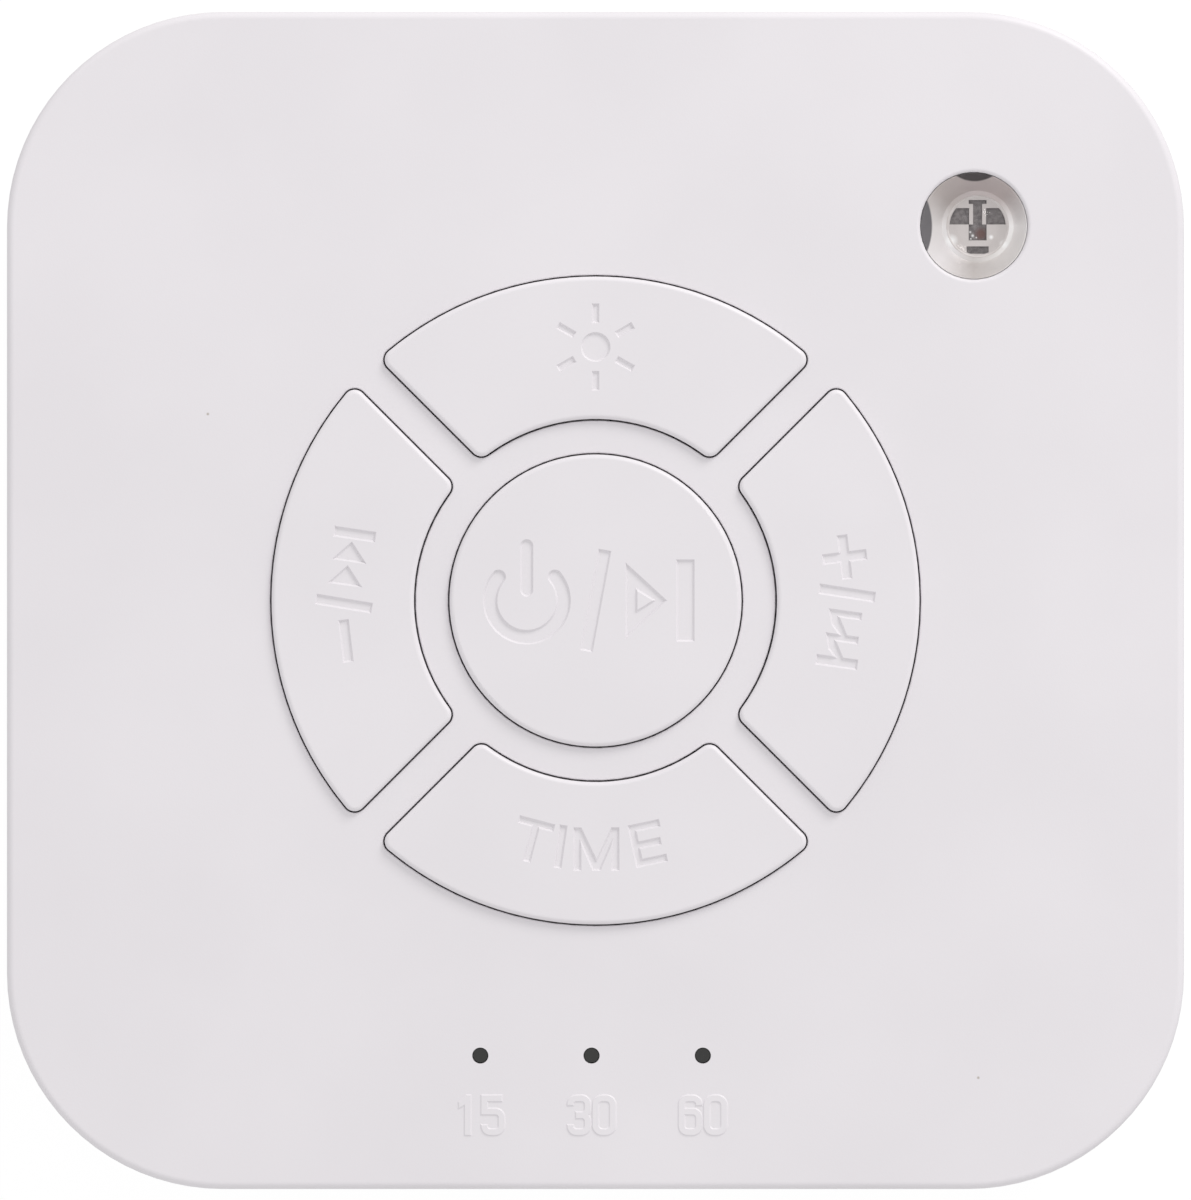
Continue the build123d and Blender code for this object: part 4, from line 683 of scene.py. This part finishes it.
def silveredFrame(name):
    # bright on top, with painted shade in the fields, a brown stain in one of them and painted highlights
    material, tree, shader, place = newMaterial(name)
    mottle, fieldShadeTone = clouded(tree, place, frameLook["mottle"], frameLook["fieldPaintedShadeDark"], frameLook["fieldPaintedShade"])
    x, y = frameLook["stainPlace"]
    radius = frameLook["stainRadius"]
    stain = (frameMiddle.x + x, frameMiddle.y + y, radius, radius / 2, frameLook["stain"])
    fieldPaintedShade = spotted(tree, place, fieldShadeTone, [stain])
    # the raised plate stays silver over the painted shade of the fields
    raised = pastPlane(tree, place, "Z", frameHigh[2] - frameLook["lip"], frameHigh[2] - frameLook["lip"] / 2)
    plate = addNode(tree, "ShaderNodeMix",
                    {"Factor": raised, mixUnder: fieldPaintedShade, mixOver: hexColour(frameLook["silver"])},
                    mixColour, output=mixResult)
    # painted highlights over the plate
    tone = spotted(tree, place, plate, paintedGlintSpots)
    bump = addNode(tree, "ShaderNodeBump", {"Height": mottle, "Distance": frameLook["mottleDepth"]})
    setInputs(tree, shader, {"Base Color": tone, "Roughness": frameLook["roughness"],
                             "Metallic": frameLook["metallic"], "Normal": bump})
    return material


whiteShell = mouldedAbs("whiteAbsSatin", plastic["shellRoughness"], plastic["speckPlaces"])
whiteCaps = mouldedAbs("whiteAbsCaps", plastic["capRoughness"], [])
zincPlate = plainFinish("zincPlatedSteel")
finishes = {
    "white_housing": whiteShell,
    "white_buttons": whiteCaps,
    "rubber": plainFinish("siliconeRubber"),
    "screw_steel": zincPlate,
    "tinned_steel": plainFinish("tinnedSteel"),
    "black_plastic": plainFinish("blackNylonMoulded"),
    "circuit_board": solderMask("greenSolderMask"),
    "lamp_package": plainFinish("ivoryNylonMoulded"),
    "clear_plastic": plainFinish("smokedPolycarbonate"),
    "bright_cup": silveredCup("satinCupWithPaintedLight"),
    "gold_contacts": lugsOnFibre("lugsOnFibre"),
    "capacitor_can": capacitorCan("sleevedCan"),
    "ferrite": plainFinish("sinteredFerrite"),
    "cloth": wovenCloth("grilleCloth"),
    "foam": plainFinish("closedCellFoam"),
    "basket_steel": plainFinish("blackCoatedSteel"),
    "plated_steel": zincPlate,
    "copper_winding": copperWinding("enamelledCopperWinding"),
    "paper_cone": pressedPaper("pressedPaper"),
    "cell_can": plainFinish("nickelPlatedCan"),
    "cell_sleeve": shrunkFilm("blueShrunkFilm"),
    "wire_insulation": plainFinish("redWireInsulation"),
    "ribbon_insulation": ribbonInsulation("greyRibbonInsulation"),
}
ownFinishes = {
    "speaker_spider": wovenCloth("phenolicCloth"),
    "usb_socket_tongue": gildedTongue("gildedTongue"),
    "speaker_leads": plainFinish("greyWireInsulation"),
    "night_light_leadframe": silveredFrame("lampFramePaintedLightAndShade"),
}
for part in frame["record"]["subparts"]:
    mesh = nodes[part["node"]].data
    mesh.materials.clear()
    mesh.materials.append(ownFinishes.get(part["node"], finishes[part["material_slot"]]))


def addPiece(name, mesh, material, replaced=None):
    # a finished piece that rides on the housing, with the finish it is given
    bmesh.ops.recalc_face_normals(mesh, faces=mesh.faces)
    data = bpy.data.meshes.new(name)
    mesh.to_mesh(data)
    mesh.free()
    data.materials.append(material)
    piece = bpy.data.objects.new(name, data)
    bpy.context.scene.collection.objects.link(piece)
    for polygon in data.polygons:
        polygon.use_smooth = True
    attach(piece, "housing")
    if replaced:
        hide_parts(replaced)
    return piece


# Lamp lens: cast clear epoxy
lens = {
    "clarity": 0.985,        # share of light that each face lets through
    "roughness": 0.05,
    "ior": 1.5,
    "glossAtRest": 0.006,    # share of gloss where the lens is looked at squarely
    "glossAtEdge": 0.16,
    "shine": "#FFFFFF",
    "haze": "#F8F9F9",
    "hazeSize": 2.5 * mm,
    "bodyShare": 2.5 / 2.9,  # radius of the body beside that of the foot
    "footHeight": 1 * mm,
    "inset": 0.02 * mm,
    "domeSteps": 24,
    "segments": 96,
}


def clearEpoxy(name):
    # clear and glossy at its edges; it doesn't bend light, so the frame inside keeps its size
    material, tree, shader, place = newMaterial(name)
    haze = addNode(tree, "ShaderNodeTexNoise",
                   {"Vector": place, "Scale": 1 / lens["hazeSize"], "Detail": 2.0})
    tone = addNode(tree, "ShaderNodeValToRGB", {"Fac": haze},
                   stops=[(0.3, lens["haze"]), (0.7, lens["shine"])])
    setInputs(tree, shader, {"Base Color": tone, "Roughness": lens["roughness"], "Metallic": 1.0})
    share = lens["clarity"]
    clear = addNode(tree, "ShaderNodeBsdfTransparent", {"Color": (share, share, share, 1)})
    mirrored = addNode(tree, "ShaderNodeFresnel", {"IOR": lens["ior"]})
    squarely = ((lens["ior"] - 1) / (lens["ior"] + 1)) ** 2
    gloss = addNode(tree, "ShaderNodeMapRange", {
        "Value": mirrored,
        "From Min": squarely,
        "From Max": 1,
        "To Min": lens["glossAtRest"],
        "To Max": lens["glossAtEdge"],
    })
    both = addNode(tree, "ShaderNodeMixShader", {0: gloss, 1: clear, 2: shader.outputs[0]})
    setInputs(tree, tree.nodes["Material Output"], {"Surface": both})
    return material


def turnAround(mesh, centre):
    # turns a profile full circle about the lamp's axis
    bmesh.ops.spin(mesh, geom=mesh.verts[:] + mesh.edges[:], cent=centre, axis=(0, 0, 1), angle=2 * pi,
                   steps=lens["segments"], use_merge=True)


def buildLens():
    # a foot, a straight body and a dome
    low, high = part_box("night_light_lens")
    centre = middleOf(low, high)
    foot = (high[0] - low[0]) / 2 - lens["inset"]
    body = foot * lens["bodyShare"]
    footTop = low[2] + lens["footHeight"]
    shoulder = high[2] - lens["inset"] - body
    profile = [(0, low[2]), (foot, low[2]), (foot, footTop), (body, footTop), (body, shoulder)]
    mesh = bmesh.new()
    points = [mesh.verts.new(centre + Vector((x, 0, z))) for x, z in profile]
    for pair in zip(points, points[1:]):
        mesh.edges.new(pair)
    bmesh.ops.spin(mesh, geom=points[-1:], cent=centre + Vector((0, 0, shoulder)), axis=(0, -1, 0),
                   angle=pi / 2, steps=lens["domeSteps"])
    turnAround(mesh, centre)
    bmesh.ops.remove_doubles(mesh, verts=mesh.verts, dist=0.001 * mm)
    return addPiece("lampLens", mesh, clearEpoxy("clearEpoxy"), "night_light_lens")


# Collar: the frosted edge of the lens's foot, a thin ring round the frame's plate
collar = {
    "radius": 2.47 * mm,
    "halfWidth": 0.1 * mm,
    "halfHeight": 0.05 * mm,
    "drop": 0.03 * mm,    # of the ring's middle below the top of the frame
    "steps": 16,
}


def buildCollar():
    centre = frameMiddle + Vector((0, 0, frameHigh[2] - collar["drop"]))
    outward = Matrix.Translation(centre + Vector((collar["radius"], 0, 0)))
    upright = Matrix.Rotation(pi / 2, 4, "X")
    oval = Matrix.Diagonal((collar["halfWidth"], collar["halfHeight"], 1, 1))
    mesh = bmesh.new()
    bmesh.ops.create_circle(mesh, segments=collar["steps"], radius=1, matrix=outward @ upright @ oval)
    turnAround(mesh, centre)
    return addPiece("lensCollar", mesh, plainFinish("frostedEpoxy"))


buildLens()
buildCollar()
print("lamp: lens and collar")
